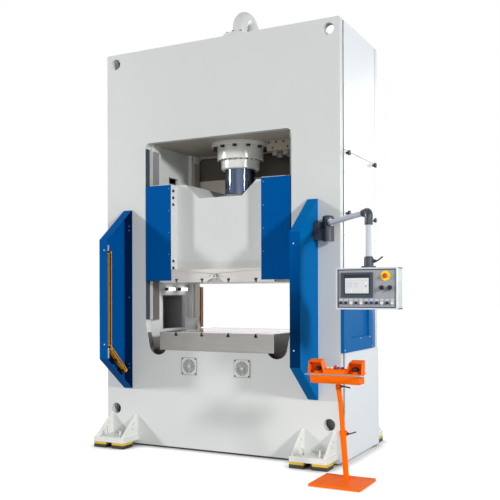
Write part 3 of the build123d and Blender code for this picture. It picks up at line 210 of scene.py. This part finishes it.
    def grain(self, scale, strength, distance, detail=2.0, stretch=(1, 1, 1)):
        """Fine relief."""
        bump = self.tree.nodes.new("ShaderNodeBump")
        bump.inputs["Strength"].default_value = strength
        bump.inputs["Distance"].default_value = distance
        self.tree.links.new(self.noise(scale, detail, stretch), bump.inputs["Height"])
        if self.normal is not None:
            self.tree.links.new(self.normal, bump.inputs["Normal"])
        self.normal = bump.outputs[0]
        return self

    def glow(self, factor, strength):
        """Light from the surface where the factor is 1."""
        self.shader.inputs["Emission Color"].default_value = (1, 1, 1, 1)
        self.feed(self.shader.inputs["Emission Strength"], self.maths("MULTIPLY", factor, strength))
        return self

    def done(self):
        self.feed(self.shader.inputs["Base Color"], self.colour)
        self.feed(self.shader.inputs["Roughness"], self.roughness)
        if self.normal is not None:
            self.tree.links.new(self.normal, self.shader.inputs["Normal"])
        return self.material


def paint(name, colour, roughness=0.38, shine=0.28):
    """Sprayed paint: slightly uneven in tone and gloss, with a fine orange peel."""
    coat = Finish(name, colour, roughness, Specular_IOR_Level=shine)
    coat.mottle(amount=0.015, scale=1.3)
    coat.vary_gloss(amount=0.06, scale=5.0)
    coat.grain(scale=6.0, strength=0.04, distance=0.01)
    coat.grain(scale=480.0, strength=0.05, distance=0.0004)
    return coat


def plastic(name, colour, roughness=0.45, **constants):
    """Moulded plastic with a fine spark-eroded grain."""
    moulding = Finish(name, colour, roughness, **constants)
    moulding.mottle(amount=0.03, scale=30.0)
    moulding.grain(scale=1500.0, strength=0.08, distance=0.0002)
    return moulding


def brushed(name, colour, roughness, stretch, metallic=1.0, contrast=0.12):
    """Ground or brushed metal with its marks along one direction."""
    metal = Finish(name, colour, roughness, metallic)
    metal.mottle(contrast, scale=1.0, stretch=stretch)
    metal.mottle(amount=0.05, scale=3.0)
    metal.vary_gloss(amount=0.08, scale=1.0, stretch=stretch)
    metal.grain(scale=1.0, strength=0.10, distance=0.0003, detail=4.0, stretch=stretch)
    return metal


# Colours
FRAME_GREY = tone(212, 215, 213)
PANEL_WHITE = tone(222, 228, 233)
COVER_BLUE = tone(0, 84, 156)
BLACK = tone(22, 22, 24)
# Painted shade for the insides of the hollow columns and of their sheets
CAVITY_SHADE = tone(70, 72, 74)

# Where the painted shade inside the hollow columns and on their sheets begins and ends, from the middle
# plane
CAVITY_INNER = 0.8905
CAVITY_OUTER = 1.2995
SHEET_INSIDE = 1.3502

# Ground marks of the plates run along X
PLATE_MARKS = (3.0, 420.0, 420.0)


def plate_look():
    """Frame paint with painted shade in the relief pockets at the window's lower corners."""
    inner, outer = 0.56, 0.90
    foot, top = -0.32, -0.012
    inset = 0.0025
    front_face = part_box("front_frame_plate")[0][1]
    look = paint("plate_finish", FRAME_GREY)
    pocket = look.both(look.within(look.side(), inner, outer), look.within(look.axis("Z"), foot, top))
    # Painted shade: the pockets' inner faces are painted dark
    look.tint(look.both(pocket, look.above(look.axis("Y"), front_face + inset)), tone(66, 60, 54))
    return look.done()


def column_look():
    """Frame paint outside, painted shade in the hollow between the walls."""
    look = paint("column_finish", FRAME_GREY)
    look.tint(look.within(look.side(), CAVITY_INNER, CAVITY_OUTER), CAVITY_SHADE)
    return look.done()


def side_look():
    """White side sheets with painted shade on what faces the hollow."""
    look = paint("side_finish", PANEL_WHITE, 0.34)
    look.tint(look.within(look.side(), CAVITY_INNER, SHEET_INSIDE), CAVITY_SHADE)
    return look.done()


def crown_look():
    """Frame paint with painted shade on the underside."""
    skin = 0.0008
    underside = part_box("crown_box")[0][2] + skin
    look = paint("crown_finish", FRAME_GREY)
    # Painted shade on the crown's underside
    look.tint(look.below(look.axis("Z"), underside), tone(176, 168, 156))
    return look.done()


def guide_look():
    """Painted guide blocks with steel strips inside and navy strips on the plate's edge; the steel strips
    carry painted shade, darker towards the foot on the front blocks and lighter on the rear ones.
    """
    strip_face = 0.8095
    strip_top = 1.925
    edge_start, edge_end = 0.8435, 0.8495
    edge_rear = -0.4872
    shade_foot, shade_top = 0.6, 1.9
    look = paint("guide_finish", tone(216, 217, 214))
    up = look.axis("Z")
    strip = look.both(look.below(look.side(), strip_face), look.below(up, strip_top))
    edge = look.both(look.within(look.side(), edge_start, edge_end), look.below(look.axis("Y"), edge_rear))
    # Painted shade: the front strips darken towards the foot, and the rear strips are painted lighter
    steel = look.mix(look.spread(up, shade_foot, shade_top), tone(84, 76, 72), tone(150, 150, 154))
    steel = look.mix(look.above(look.axis("Y"), 0.0), steel, tone(176, 170, 160))
    look.tint(strip, steel).tint(edge, tone(62, 68, 82))
    return look.done()


def table_look():
    """Ground steel, smoother on the top face, with a painted reflection that lightens the top face."""
    skin = 0.0035
    smoother = 0.2
    look = brushed("table_steel", tone(141, 140, 136), 0.38, PLATE_MARKS, metallic=0.9)
    top = look.above(look.axis("Z"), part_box("table_plate")[1][2] - skin)
    look.roughness = look.maths("SUBTRACT", look.roughness, look.both(top, smoother))
    # Painted reflection: the top face is lightened to a pale pinkish white
    look.tint(top, tone(226, 218, 220))
    return look.done()


def pad_look():
    """Black rubber under a yellow plate."""
    plate_foot = -1.184
    look = plastic("pad_finish", tone(32, 32, 33), 0.6)
    look.tint(look.above(look.axis("Z"), plate_foot), tone(214, 178, 40))
    return look.done()


def rear_look():
    """The rear closing plate, darker behind the crown's shadow line."""
    shadow_line = 1.736
    look = paint("rear_finish", tone(230, 220, 213), 0.5)
    look.tint(look.above(look.axis("Z"), shadow_line), tone(100, 94, 86))
    return look.done()


def valve_look():
    """Dull block with greyer valves below it and one yellow tag."""
    block_foot = 1.9015
    tag_x, tag_z, tag_radius = 0.507, 1.918, 0.011
    look = paint("valve_finish", tone(168, 160, 142), 0.4)
    look.tint(look.below(look.axis("Z"), block_foot), tone(150, 150, 146))
    look.tint(look.disc(tag_x, tag_z, tag_radius), tone(232, 192, 30))
    return look.done()


def curtain_look():
    """Light curtains: ochre housings with a dark lens, black caps, steel straps and black brackets; the
    rear pair carries painted shade in a darker brown.
    """
    outer_lens = (1.0294, 1.0306)
    inner_lens = (0.8274, 0.8286)
    foot_cap = (-0.158, -0.136)
    top_cap = (0.820, 0.842)
    strap_foot, strap_top = -0.1572, 0.8412
    front_pair = -0.93
    low_pair_top = -0.1
    low_pivot = (0, -0.918, -0.163)
    low_lean = radians(44.5)
    low_underside = -0.0175
    bracket_side = 1.0765
    rear_face = 0.5985
    look = paint("curtain_finish", tone(214, 150, 16), 0.4)
    side = look.side()
    up = look.axis("Z")
    front = look.below(look.axis("Y"), front_pair)
    lens = look.either(look.within(side, *outer_lens), look.within(side, *inner_lens))
    cap = look.either(look.within(up, *foot_cap), look.within(up, *top_cap))
    look.tint(look.either(lens, look.both(cap, front)), BLACK)
    strap = look.either(look.above(up, strap_top), look.below(up, strap_foot))
    look.tint(look.both(strap, front), tone(186, 180, 172))
    under_bar = look.along(low_pivot, (0, sin(low_lean), cos(low_lean)))
    bracket = look.either(look.below(under_bar, low_underside), look.above(side, bracket_side))
    low_pair = look.both(look.off(front), look.below(up, low_pair_top))
    look.tint(look.both(bracket, low_pair), BLACK)
    # Painted shade: the rear pair of curtains is painted a darker brown
    look.tint(look.above(look.axis("Y"), 0.0), tone(158, 96, 10))
    look.tint(look.above(look.axis("Y"), rear_face), BLACK)
    return look.done()


def guard_look():
    """Blue guards with painted light and shade: the right guard is painted a brighter blue, its front
    flange darkens towards the foot, and the left guard's flange at the wall is painted dark.
    """
    front_flange = -0.9905
    wall_flange = -0.5665
    fade_foot, fade_top = 0.05, 0.75
    look = paint("guard_finish", COVER_BLUE, 0.42, 0.01)
    right = look.above(look.axis("X"), 0.0)
    right_flange = look.both(right, look.below(look.axis("Y"), front_flange))
    fade = look.spread(look.axis("Z"), fade_foot, fade_top, 1.0, 0.0)
    # Painted light: the right guard is painted a brighter blue
    look.tint(right, tone(2, 104, 172))
    look.tint(right_flange, COVER_BLUE)
    # Painted shade: the right front flange darkens towards the foot, and the left guard's flange at the
    # wall is dark
    look.tint(look.both(right_flange, fade), tone(0, 44, 86))
    look.tint(look.both(look.off(right), look.above(look.axis("Y"), wall_flange)), tone(0, 38, 82))
    return look.done()


def arm_look():
    """Bright tube with dark castings at the pivot and at the elbow."""
    pivot = (1.262, -0.645, 0)
    reach_x, reach_y = 0.645, -0.765
    pivot_casting = 0.084
    elbow_casting = 0.102
    elbow_foot = 0.945
    turn = atan2(reach_y, reach_x)
    reach = hypot(reach_x, reach_y)
    look = Finish("arm_finish", tone(198, 203, 210), 0.3)
    look.mottle(amount=0.05, scale=1.0, stretch=(260.0, 260.0, 5.0))
    look.vary_gloss(amount=0.05, scale=8.0)
    out = look.along(pivot, (cos(turn), sin(turn), 0))
    elbow = look.both(look.above(out, reach - elbow_casting), look.above(look.axis("Z"), elbow_foot))
    look.tint(look.either(look.below(out, pivot_casting), elbow), tone(42, 48, 58))
    look.grain(scale=700.0, strength=0.06, distance=0.0003)
    return look.done()


# The two vent plates, from their node's box
vent_low, vent_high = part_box("vent_plates")
VENT_SIZE = vent_high[2] - vent_low[2]
VENT_HEIGHT = (vent_high[2] + vent_low[2]) / 2
VENT_MIDDLES = (vent_low[0] + VENT_SIZE / 2, vent_high[0] - VENT_SIZE / 2)


def vent_look():
    """Pale plates whose radial slots, in an outer ring and a hub, are painted dark as painted shade, inside
    a grey rim.
    """
    slots = 24
    ring_outer, ring_inner, hub_inner = 0.0725, 0.031, 0.014
    rim = (0.0855, 0.0895)
    look = paint("vent_finish", tone(212, 214, 210))
    for middle in VENT_MIDDLES:
        aside = look.maths("SUBTRACT", look.axis("X"), middle)
        rise = look.maths("SUBTRACT", look.axis("Z"), VENT_HEIGHT)
        bearing = look.maths("MULTIPLY", look.maths("ARCTAN2", rise, aside), slots)
        spoke = look.above(look.maths("COSINE", bearing), 0.1, soft=0.15)
        ring = look.both(look.disc(middle, VENT_HEIGHT, ring_outer),
                         look.off(look.disc(middle, VENT_HEIGHT, ring_inner)))
        hub = look.both(look.disc(middle, VENT_HEIGHT, ring_inner),
                        look.off(look.disc(middle, VENT_HEIGHT, hub_inner)))
        every_other = look.maths("COSINE", look.maths("DIVIDE", bearing, 2.0))
        short = look.above(every_other, 0.55, soft=0.2)
        # Painted shade in the slots
        look.tint(look.either(look.both(ring, spoke), look.both(hub, short)), tone(14, 14, 16))
        edge = look.either(look.maths("ABSOLUTE", aside), look.maths("ABSOLUTE", rise))
        look.tint(look.within(edge, *rim), tone(136, 138, 136))
    return look.done()


def lamp_look():
    """Work lamps: lit windows in a dark housing."""
    window_middles = (-0.097, 0.166)
    half_window = 0.068
    look = Finish("lamp_finish", tone(232, 236, 238), 0.3)
    look.mottle(amount=0.02, scale=20.0)
    lit = 0.0
    for middle in window_middles:
        distance = look.maths("ABSOLUTE", look.maths("SUBTRACT", look.axis("Y"), middle))
        lit = look.either(lit, look.maths("LESS_THAN", distance, half_window))
    look.tint(look.off(lit), tone(40, 40, 42))
    look.glow(lit, strength=1.6)
    return look.done()


# The hanging panel's front, from its node's box; its face is where the display sits on it
box_low, box_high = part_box("control_box")
BOX_LEFT, BOX_RIGHT = box_low[0], box_high[0]
BOX_FOOT, BOX_TOP = box_low[2], box_high[2]
BOX_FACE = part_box("control_display")[1][1]


def box_look():
    """Grey front in a pale frame, black corners, a banded side, the stop plate and the row of buttons."""
    rim, seal = 0.012, 0.009
    corner_side, corner_end, corner_front = 0.014, 0.012, -1.470
    band_front, band_rear, groove = -1.446, -1.366, 0.006
    stop_x, stop_z, stop_radius = 2.065, 0.533, 0.0398
    first_button, button_pitch, button_z, button_radius = 0.042, 0.0426, 0.318, 0.0125
    label_half, label_foot, label_top = 0.0155, 0.3325, 0.3515
    cap_colours = {"k": BLACK, "w": tone(232, 232, 230), "b": tone(10, 60, 130)}
    look = paint("box_finish", tone(158, 161, 168), 0.42, 0.4)
    look.mottle(amount=0.05, scale=1.0, stretch=(500.0, 500.0, 500.0))

    def front_panel(margin):
        return look.patch((BOX_LEFT + margin, BOX_RIGHT - margin), (BOX_FOOT + margin, BOX_TOP - margin))

    panel = front_panel(rim)
    look.tint(look.both(panel, look.off(front_panel(rim + seal))), tone(52, 60, 70))
    look.tint(look.off(panel), tone(214, 218, 220))
    depth = look.axis("Y")
    side_face = look.above(look.axis("X"), BOX_RIGHT - 0.001)
    grooves = look.either(look.within(depth, band_front - groove, band_front),
                          look.within(depth, band_rear, band_rear + groove))
    look.tint(look.both(look.within(depth, band_front, band_rear), side_face), tone(168, 182, 178))
    look.tint(look.both(grooves, side_face), tone(70, 76, 80))
    ends = look.off(look.within(look.axis("Z"), BOX_FOOT + corner_end, BOX_TOP - corner_end))
    sides = look.off(look.within(look.axis("X"), BOX_LEFT + corner_side, BOX_RIGHT - corner_side))
    look.tint(look.both(look.both(ends, sides), look.above(depth, corner_front)), BLACK)
    proud = look.below(depth, BOX_FACE - EDGE_SOFTNESS)
    look.tint(look.both(look.disc(stop_x, stop_z, stop_radius), proud), tone(255, 222, 0))
    for number, letter in enumerate("kkwkwkbkwkw"):
        x = BOX_LEFT + first_button + number * button_pitch
        label = look.patch((x - label_half, x + label_half), (label_foot, label_top))
        look.tint(look.both(label, proud), tone(196, 200, 206))
        look.tint(look.both(look.disc(x, button_z, button_radius), proud), cap_colours[letter])
    return look.done()


def screen_look():
    """The display: black glass and a pale lit page with plain fields."""
    glass = ((1.7195, 1.9385), (0.3845, 0.5455))
    page_left, page_right, page_foot, page_top = 1.7305, 1.9285, 0.3945, 0.5160
    # Plain fields of the page: left, right, foot, top and colour
    fields = (
        (page_left, page_right, 0.5090, page_top, (224, 224, 226)),
        (1.738, 1.918, 0.499, 0.5015, (170, 172, 176)),
        (1.738, 1.741, 0.404, 0.5015, (176, 178, 182)),
        (1.738, 1.918, 0.404, 0.4060, (170, 172, 176)),
        (1.748, 1.790, 0.440, 0.4850, (190, 196, 204)),
        (1.800, 1.842, 0.440, 0.4850, (196, 198, 200)),
        (1.898, 1.911, 0.445, 0.4580, (110, 116, 130)),
        (1.898, 1.911, 0.470, 0.4830, (236, 238, 240)),
        (1.778, 1.788, 0.410, 0.4200, (238, 240, 242)),
        (1.888, 1.900, 0.410, 0.4200, (236, 238, 240)),
    )
    look = plastic("screen_finish", tone(52, 64, 78), 0.35)
    look.tint(look.patch(*glass), tone(8, 9, 12))
    page = look.patch((page_left, page_right), (page_foot, page_top))
    look.tint(page, tone(206, 207, 210))
    for left, right, foot, top, shade in fields:
        look.tint(look.patch((left, right), (foot, top)), tone(*shade))
    look.glow(page, strength=0.12)
    return look.done()


def black_steel_look():
    """Blackened fasteners."""
    look = Finish("black_steel", BLACK, 0.42, 0.3)
    look.mottle(amount=0.1, scale=60.0)
    look.grain(scale=700.0, strength=0.06, distance=0.0003)
    return look.done()


frame_paint = paint("frame_paint", FRAME_GREY).done()
plate_material = plate_look()
column_material = column_look()
side_material = side_look()
panel_paint = paint("panel_paint", PANEL_WHITE, 0.34).done()
blue_paint = paint("blue_paint", COVER_BLUE, 0.42, 0.01).done()
vent_blue = paint("vent_blue", tone(16, 104, 170), 0.42, 0.01).done()
orange_paint = paint("orange_paint", tone(250, 110, 14), 0.45, 0.03).done()
cylinder_paint = paint("cylinder_paint", tone(222, 223, 217), 0.2, 0.55).done()
foot_paint = paint("foot_paint", tone(226, 228, 224), 0.34).done()
grey_paint = paint("grey_paint", tone(150, 153, 156), 0.45).done()
dark_casting = paint("dark_casting", tone(46, 53, 63), 0.38, 0.5).done()
dull_screw = paint("dull_screw", tone(96, 132, 176), 0.4).done()
platen_steel = brushed("platen_steel", tone(186, 183, 180), 0.42, PLATE_MARKS, metallic=0.8).done()
zinc = brushed("zinc", tone(196, 196, 192), 0.35, (300.0, 300.0, 300.0), contrast=0.05).done()
# Painted reflection: the dark bluish tone and the strong streaks along the rod stand in for its reflections
chrome = brushed("chrome", tone(86, 98, 118), 0.09, (16.0, 16.0, 0.05), contrast=0.6).done()
bronze = brushed("bronze", tone(150, 112, 60), 0.4, (200.0, 200.0, 200.0), contrast=0.06).done()
black_steel = black_steel_look()
black_plastic = plastic("black_plastic", tone(26, 27, 29)).done()
white_plastic = plastic("white_plastic", tone(236, 235, 230), 0.35).done()
blue_plastic = plastic("blue_plastic", tone(20, 80, 170), 0.35).done()
red_plastic = plastic("red_plastic", tone(205, 24, 28), 0.32, Coat_Weight=0.3).done()
guard_material = guard_look()
curtain_material = curtain_look()

FINISH_OF = {
    "front_frame_plate": plate_material, "rear_frame_plate": frame_paint, "crown_box": crown_look(),
    "bed_box": plate_material, "right_column_box": column_material, "left_column_box": column_material,
    "table_plate": table_look(), "guide_rails": guide_look(), "main_cylinder": cylinder_paint,
    "cylinder_gland": cylinder_paint, "cylinder_bolts": black_steel, "suction_pipe": frame_paint,
    "upper_side_panels": side_material, "middle_side_panels": side_material, "right_vent_panel": vent_blue,
    "right_base_panel": panel_paint, "left_lower_panel": side_material, "panel_knobs": black_plastic,
    "oil_tank": panel_paint, "motor_pump": grey_paint, "valve_block": valve_look(),
    "rear_upper_panel": rear_look(), "right_guard": guard_material, "left_guard": guard_material,
    "light_curtains": curtain_material, "vent_plates": vent_look(), "work_lamps": lamp_look(),
    "feet": foot_paint, "foot_pads": pad_look(), "foot_bolts": zinc, "pendant_bracket": dark_casting,
    "stand_base": orange_paint, "ram_slide": frame_paint, "ram_platen": platen_steel,
    "ram_covers": blue_paint, "guide_shoes": bronze, "ram_bolts": black_steel, "rod_clamp_ring": grey_paint,
    "piston_rod": chrome, "pendant_arm": arm_look(), "pendant_coupling": dark_casting,
    "control_box": box_look(), "control_display": screen_look(), "coupling_lever": black_plastic,
    "control_estop": red_plastic, "left_selector": black_plastic, "right_selector": black_plastic,
    "stand_post": orange_paint, "console_body": orange_paint, "console_hub": orange_paint,
    "console_rail": grey_paint, "left_palm_button": black_plastic, "right_palm_button": black_plastic,
    "console_estop": red_plastic, "console_button_1": white_plastic, "console_button_2": white_plastic,
    "console_button_3": blue_plastic, "console_button_4": black_plastic, "post_lever": black_plastic,
    "tilt_lever": black_plastic,
}

# Widths of the rounded edges that catch the light
BEVELS = {
    "table_plate": 0.003, "ram_slide": 0.004, "ram_platen": 0.003, "crown_box": 0.003, "feet": 0.003,
    "ram_covers": 0.0012, "cylinder_gland": 0.002, "main_cylinder": 0.003, "valve_block": 0.002,
    "foot_pads": 0.003,
}


WELD_DISTANCE = 0.00002
SHARP_ANGLE = radians(35)


def soften(piece, width):
    """Rounds the sharp edges of a node so that they catch the light."""
    weld = piece.modifiers.new("weld", "WELD")
    weld.merge_threshold = WELD_DISTANCE
    bevel = piece.modifiers.new("bevel", "BEVEL")
    bevel.width = width
    bevel.segments = 2
    bevel.limit_method = "ANGLE"
    bevel.angle_limit = SHARP_ANGLE
    bevel.use_clamp_overlap = False
    normals = piece.modifiers.new("normals", "WEIGHTED_NORMAL")
    normals.keep_sharp = True


for name, piece in nodes.items():
    for slot in piece.material_slots:
        slot.material = FINISH_OF[name]
    if name in BEVELS:
        soften(piece, BEVELS[name])


# Screws

HEAD_STEPS = 24


def turned(mesh, profile, place, facing, socket):
    """Adds a lathed head; its profile runs from the middle out, and the socket's rings are hexagons."""
    turn = Vector((0, 0, 1)).rotation_difference(Vector(facing)).to_matrix().to_4x4()
    place = Matrix.Translation(place) @ turn
    rings = []
    for number, (radius, height) in enumerate(profile):
        ring = []
        for step in range(HEAD_STEPS):
            angle = 2 * pi * step / HEAD_STEPS
            reach = radius
            if number in socket:
                reach = radius * cos(pi / 6) / cos(angle % (pi / 3) - pi / 6)
            ring.append(mesh.verts.new(place @ Vector((reach * cos(angle), reach * sin(angle), height))))
        rings.append(ring)
    for inner, outer in zip(rings, rings[1:]):
        for step in range(HEAD_STEPS):
            after = (step + 1) % HEAD_STEPS
            mesh.faces.new((inner[step], outer[step], outer[after], inner[after]))
    mesh.faces.new(rings[0])


def screws(name, body, finish, spots, facing, radius):
    """Socket screws in one piece: a domed head with a hexagon socket at each spot."""
    socket, dome, shoulder = 0.42 * radius, 0.72 * radius, 0.93 * radius
    top = 0.45 * radius
    socket_floor, shoulder_height, rim_height, root = 0.3 * top, 0.72 * top, 0.3 * top, -0.1 * top
    profile = ((socket, socket_floor), (socket, top), (dome, top),
               (shoulder, shoulder_height), (radius, rim_height), (radius, root))
    mesh = bmesh.new()
    for spot in spots:
        turned(mesh, profile, spot, facing, socket=(0, 1))
    bmesh.ops.recalc_face_normals(mesh, faces=mesh.faces)
    data = bpy.data.meshes.new(name)
    mesh.to_mesh(data)
    mesh.free()
    data.materials.append(finish)
    piece = bpy.data.objects.new(name, data)
    scene.collection.objects.link(piece)
    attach(piece, body)


def mirrored(spots):
    """The spots and their mirror images on the other side of the press."""
    return [*spots, *[(-x, y, z) for x, y, z in spots]]


TO_FRONT = (0, -1, 0)
TO_RIGHT = (1, 0, 0)
TO_LEFT = (-1, 0, 0)

cover_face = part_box("ram_covers")[0][1]
cover_x = 0.552
cover_spots = mirrored([(cover_x, cover_face, z) for z in (1.499, 1.268, 1.040, 0.811)])
screws("cover_screws", "ram", dull_screw, cover_spots, TO_FRONT, radius=0.0065)

guard_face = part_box("right_guard")[0][1]
guard_x = 1.062
flange_spots = mirrored([(guard_x, guard_face, z) for z in (0.848, -0.121)])
screws("guard_front_screws", "root", zinc, flange_spots, TO_FRONT, radius=0.0075)
wall_flange_x, wall_flange_y = 1.061, -0.563
wall_spots = mirrored([(wall_flange_x, wall_flange_y, z) for z in (1.126, 1.080, 0.361, -0.358, -0.400)])
screws("guard_rear_screws", "root", dull_screw, wall_spots, TO_FRONT, radius=0.007)

cooler_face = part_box("right_vent_panel")[1][0]
outer_sides, outer_heights = (-0.535, 0.275), (-0.140, 0.470)
inner_sides, inner_heights = (-0.077, 0.209), (-0.046, 0.416)
cooler_spots = [(cooler_face, y, z) for y in outer_sides for z in outer_heights]
cooler_spots += [(cooler_face, y, z) for y in inner_sides for z in inner_heights]
screws("vent_panel_screws", "root", zinc, cooler_spots, TO_RIGHT, radius=0.007)

grille_face = vent_low[1]
grille_pitch = 0.076
grille_spots = [(x + across, grille_face, VENT_HEIGHT + up) for x in VENT_MIDDLES
                for across in (-grille_pitch, grille_pitch) for up in (-grille_pitch, grille_pitch)]
screws("vent_plate_screws", "root", black_steel, grille_spots, TO_FRONT, radius=0.008)

sheet_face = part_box("upper_side_panels")[1][0]
base_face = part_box("right_base_panel")[1][0]
sheet_ends = (-0.452, 0.452)
base_ends = (-0.452, 0.54)
upper_heights = (1.79, 2.37, 2.955)
middle_heights = (0.53, 0.95, 1.55)
lower_heights = (-1.12, -0.66, -0.20)
left_heights = (-1.12, -0.3, 0.47)
right_spots = [(sheet_face, y, z) for y in sheet_ends for z in upper_heights + middle_heights]
right_spots += [(base_face, y, z) for y in base_ends for z in lower_heights]
screws("panel_screws", "root", zinc, right_spots, TO_RIGHT, radius=0.006)

valve_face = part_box("valve_block")[0][1]
valve_places = ((0.372, 1.986), (0.455, 1.986), (0.415, 1.926), (0.540, 1.986), (0.588, 1.930))
valve_spots = [(x, valve_face, z) for x, z in valve_places]
screws("valve_screws", "root", black_steel, valve_spots, TO_FRONT, radius=0.011)

gusset_faces = (0.980, 1.305, -0.955, -1.280)
gusset_places = ((-0.635, -0.985), (-0.665, -1.035))
gusset_spots = [(x, y, z) for x in gusset_faces for y, z in gusset_places]
screws("gusset_screws", "root", zinc, gusset_spots, TO_RIGHT, radius=0.008)

all_left_heights = left_heights + middle_heights + upper_heights
left_spots = [(-sheet_face, y, z) for y in sheet_ends for z in all_left_heights]
screws("left_panel_screws", "root", zinc, left_spots, TO_LEFT, radius=0.006)


# Floor, light and camera

FLOOR_HEIGHT = cad_bounds[0][2]
FLOOR_SIZE = 160
CONTACT_REACH = 0.16
CONTACT_DEPTH = 1.6
FLOOR_GLOW = 0.92
WORLD_LIGHT = 0.17
PRESS_MIDDLE = (0, 0, 0.8)

# Lamps: name, place, aim, width, height and power
LAMPS = (
    ("left_lamp", (-13.4, -7.7, 4.6), PRESS_MIDDLE, 1.5, 1.5, 1450),
    ("right_lamp", (13.4, -7.7, 4.6), PRESS_MIDDLE, 1.5, 1.5, 1520),
    ("front_fill", (8.0, -23.0, 1.4), PRESS_MIDDLE, 8.0, 4.0, 720),
    ("side_fill", (18.0, 4.5, 3.0), PRESS_MIDDLE, 8.0, 8.0, 380),
    ("rear_lamp", (2.0, 20.0, 4.0), PRESS_MIDDLE, 10.0, 8.0, 1900),
    ("low_fill", (0.5, -2.7, -0.95), (0.3, -0.56, -0.55), 3.0, 0.5, 11),
)


def stage_floor():
    """A pale floor that shows white and keeps the shadow."""
    bpy.ops.mesh.primitive_plane_add(size=FLOOR_SIZE, location=(0, 0, FLOOR_HEIGHT))
    floor = bpy.context.object
    floor.name = "floor"
    look = Finish("floor_finish", tone(138, 138, 138), 0.9)
    look.mottle(amount=0.004, scale=0.5)
    rays = look.tree.nodes.new("ShaderNodeLightPath")
    seen = look.either(rays.outputs["Is Camera Ray"], rays.outputs["Is Glossy Ray"])
    seen = look.either(seen, rays.outputs["Is Transmission Ray"])
    contact = look.tree.nodes.new("ShaderNodeAmbientOcclusion")
    contact.samples = 8
    contact.inputs["Distance"].default_value = CONTACT_REACH
    look.glow(look.both(seen, look.maths("POWER", contact.outputs["AO"], CONTACT_DEPTH)), FLOOR_GLOW)
    floor.data.materials.append(look.done())


def studio_world():
    """White all round for the eye and for reflections, dimmer as light."""
    world = bpy.data.worlds.new("studio")
    scene.world = world
    world.use_nodes = True
    tree = world.node_tree
    background = tree.nodes["Background"]
    background.inputs["Color"].default_value = (1, 1, 1, 1)
    rays = tree.nodes.new("ShaderNodeLightPath")
    seen = rays.outputs["Is Camera Ray"]
    for kind in ("Is Glossy Ray", "Is Transmission Ray"):
        either = tree.nodes.new("ShaderNodeMath")
        either.operation = "MAXIMUM"
        tree.links.new(seen, either.inputs[0])
        tree.links.new(rays.outputs[kind], either.inputs[1])
        seen = either.outputs[0]
    level = tree.nodes.new("ShaderNodeMapRange")
    tree.links.new(seen, level.inputs["Value"])
    level.inputs["To Min"].default_value = WORLD_LIGHT
    level.inputs["To Max"].default_value = 1.0
    tree.links.new(level.outputs["Result"], background.inputs["Strength"])


def softbox(name, place, aim, width, height, power):
    """A large flat lamp that faces a point."""
    lamp = bpy.data.lights.new(name, "AREA")
    lamp.shape = "RECTANGLE"
    lamp.size = width
    lamp.size_y = height
    lamp.energy = power
    holder = bpy.data.objects.new(name, lamp)
    scene.collection.objects.link(holder)
    holder.location = place
    holder.visible_camera = False
    holder.rotation_euler = (Vector(aim) - Vector(place)).to_track_quat("-Z", "Y").to_euler()


def photo_camera():
    """Camera at the photograph's place: at eye height, to the right of the press."""
    camera = bpy.data.cameras.new("photo_camera")
    camera.lens = 55.19
    camera.sensor_width = 36.0
    camera.shift_y = 0.0845
    camera.clip_end = 300
    holder = bpy.data.objects.new("photo_camera", camera)
    scene.collection.objects.link(holder)
    holder.location = (3.858, -7.331, 0.386)
    tilt, roll, turn = 90.182, 0.146, 27.06
    holder.rotation_euler = (radians(tilt), radians(roll), radians(turn))
    scene.camera = holder


stage_floor()
studio_world()
for lamp_values in LAMPS:
    softbox(*lamp_values)
photo_camera()
scene.view_settings.view_transform = "Standard"
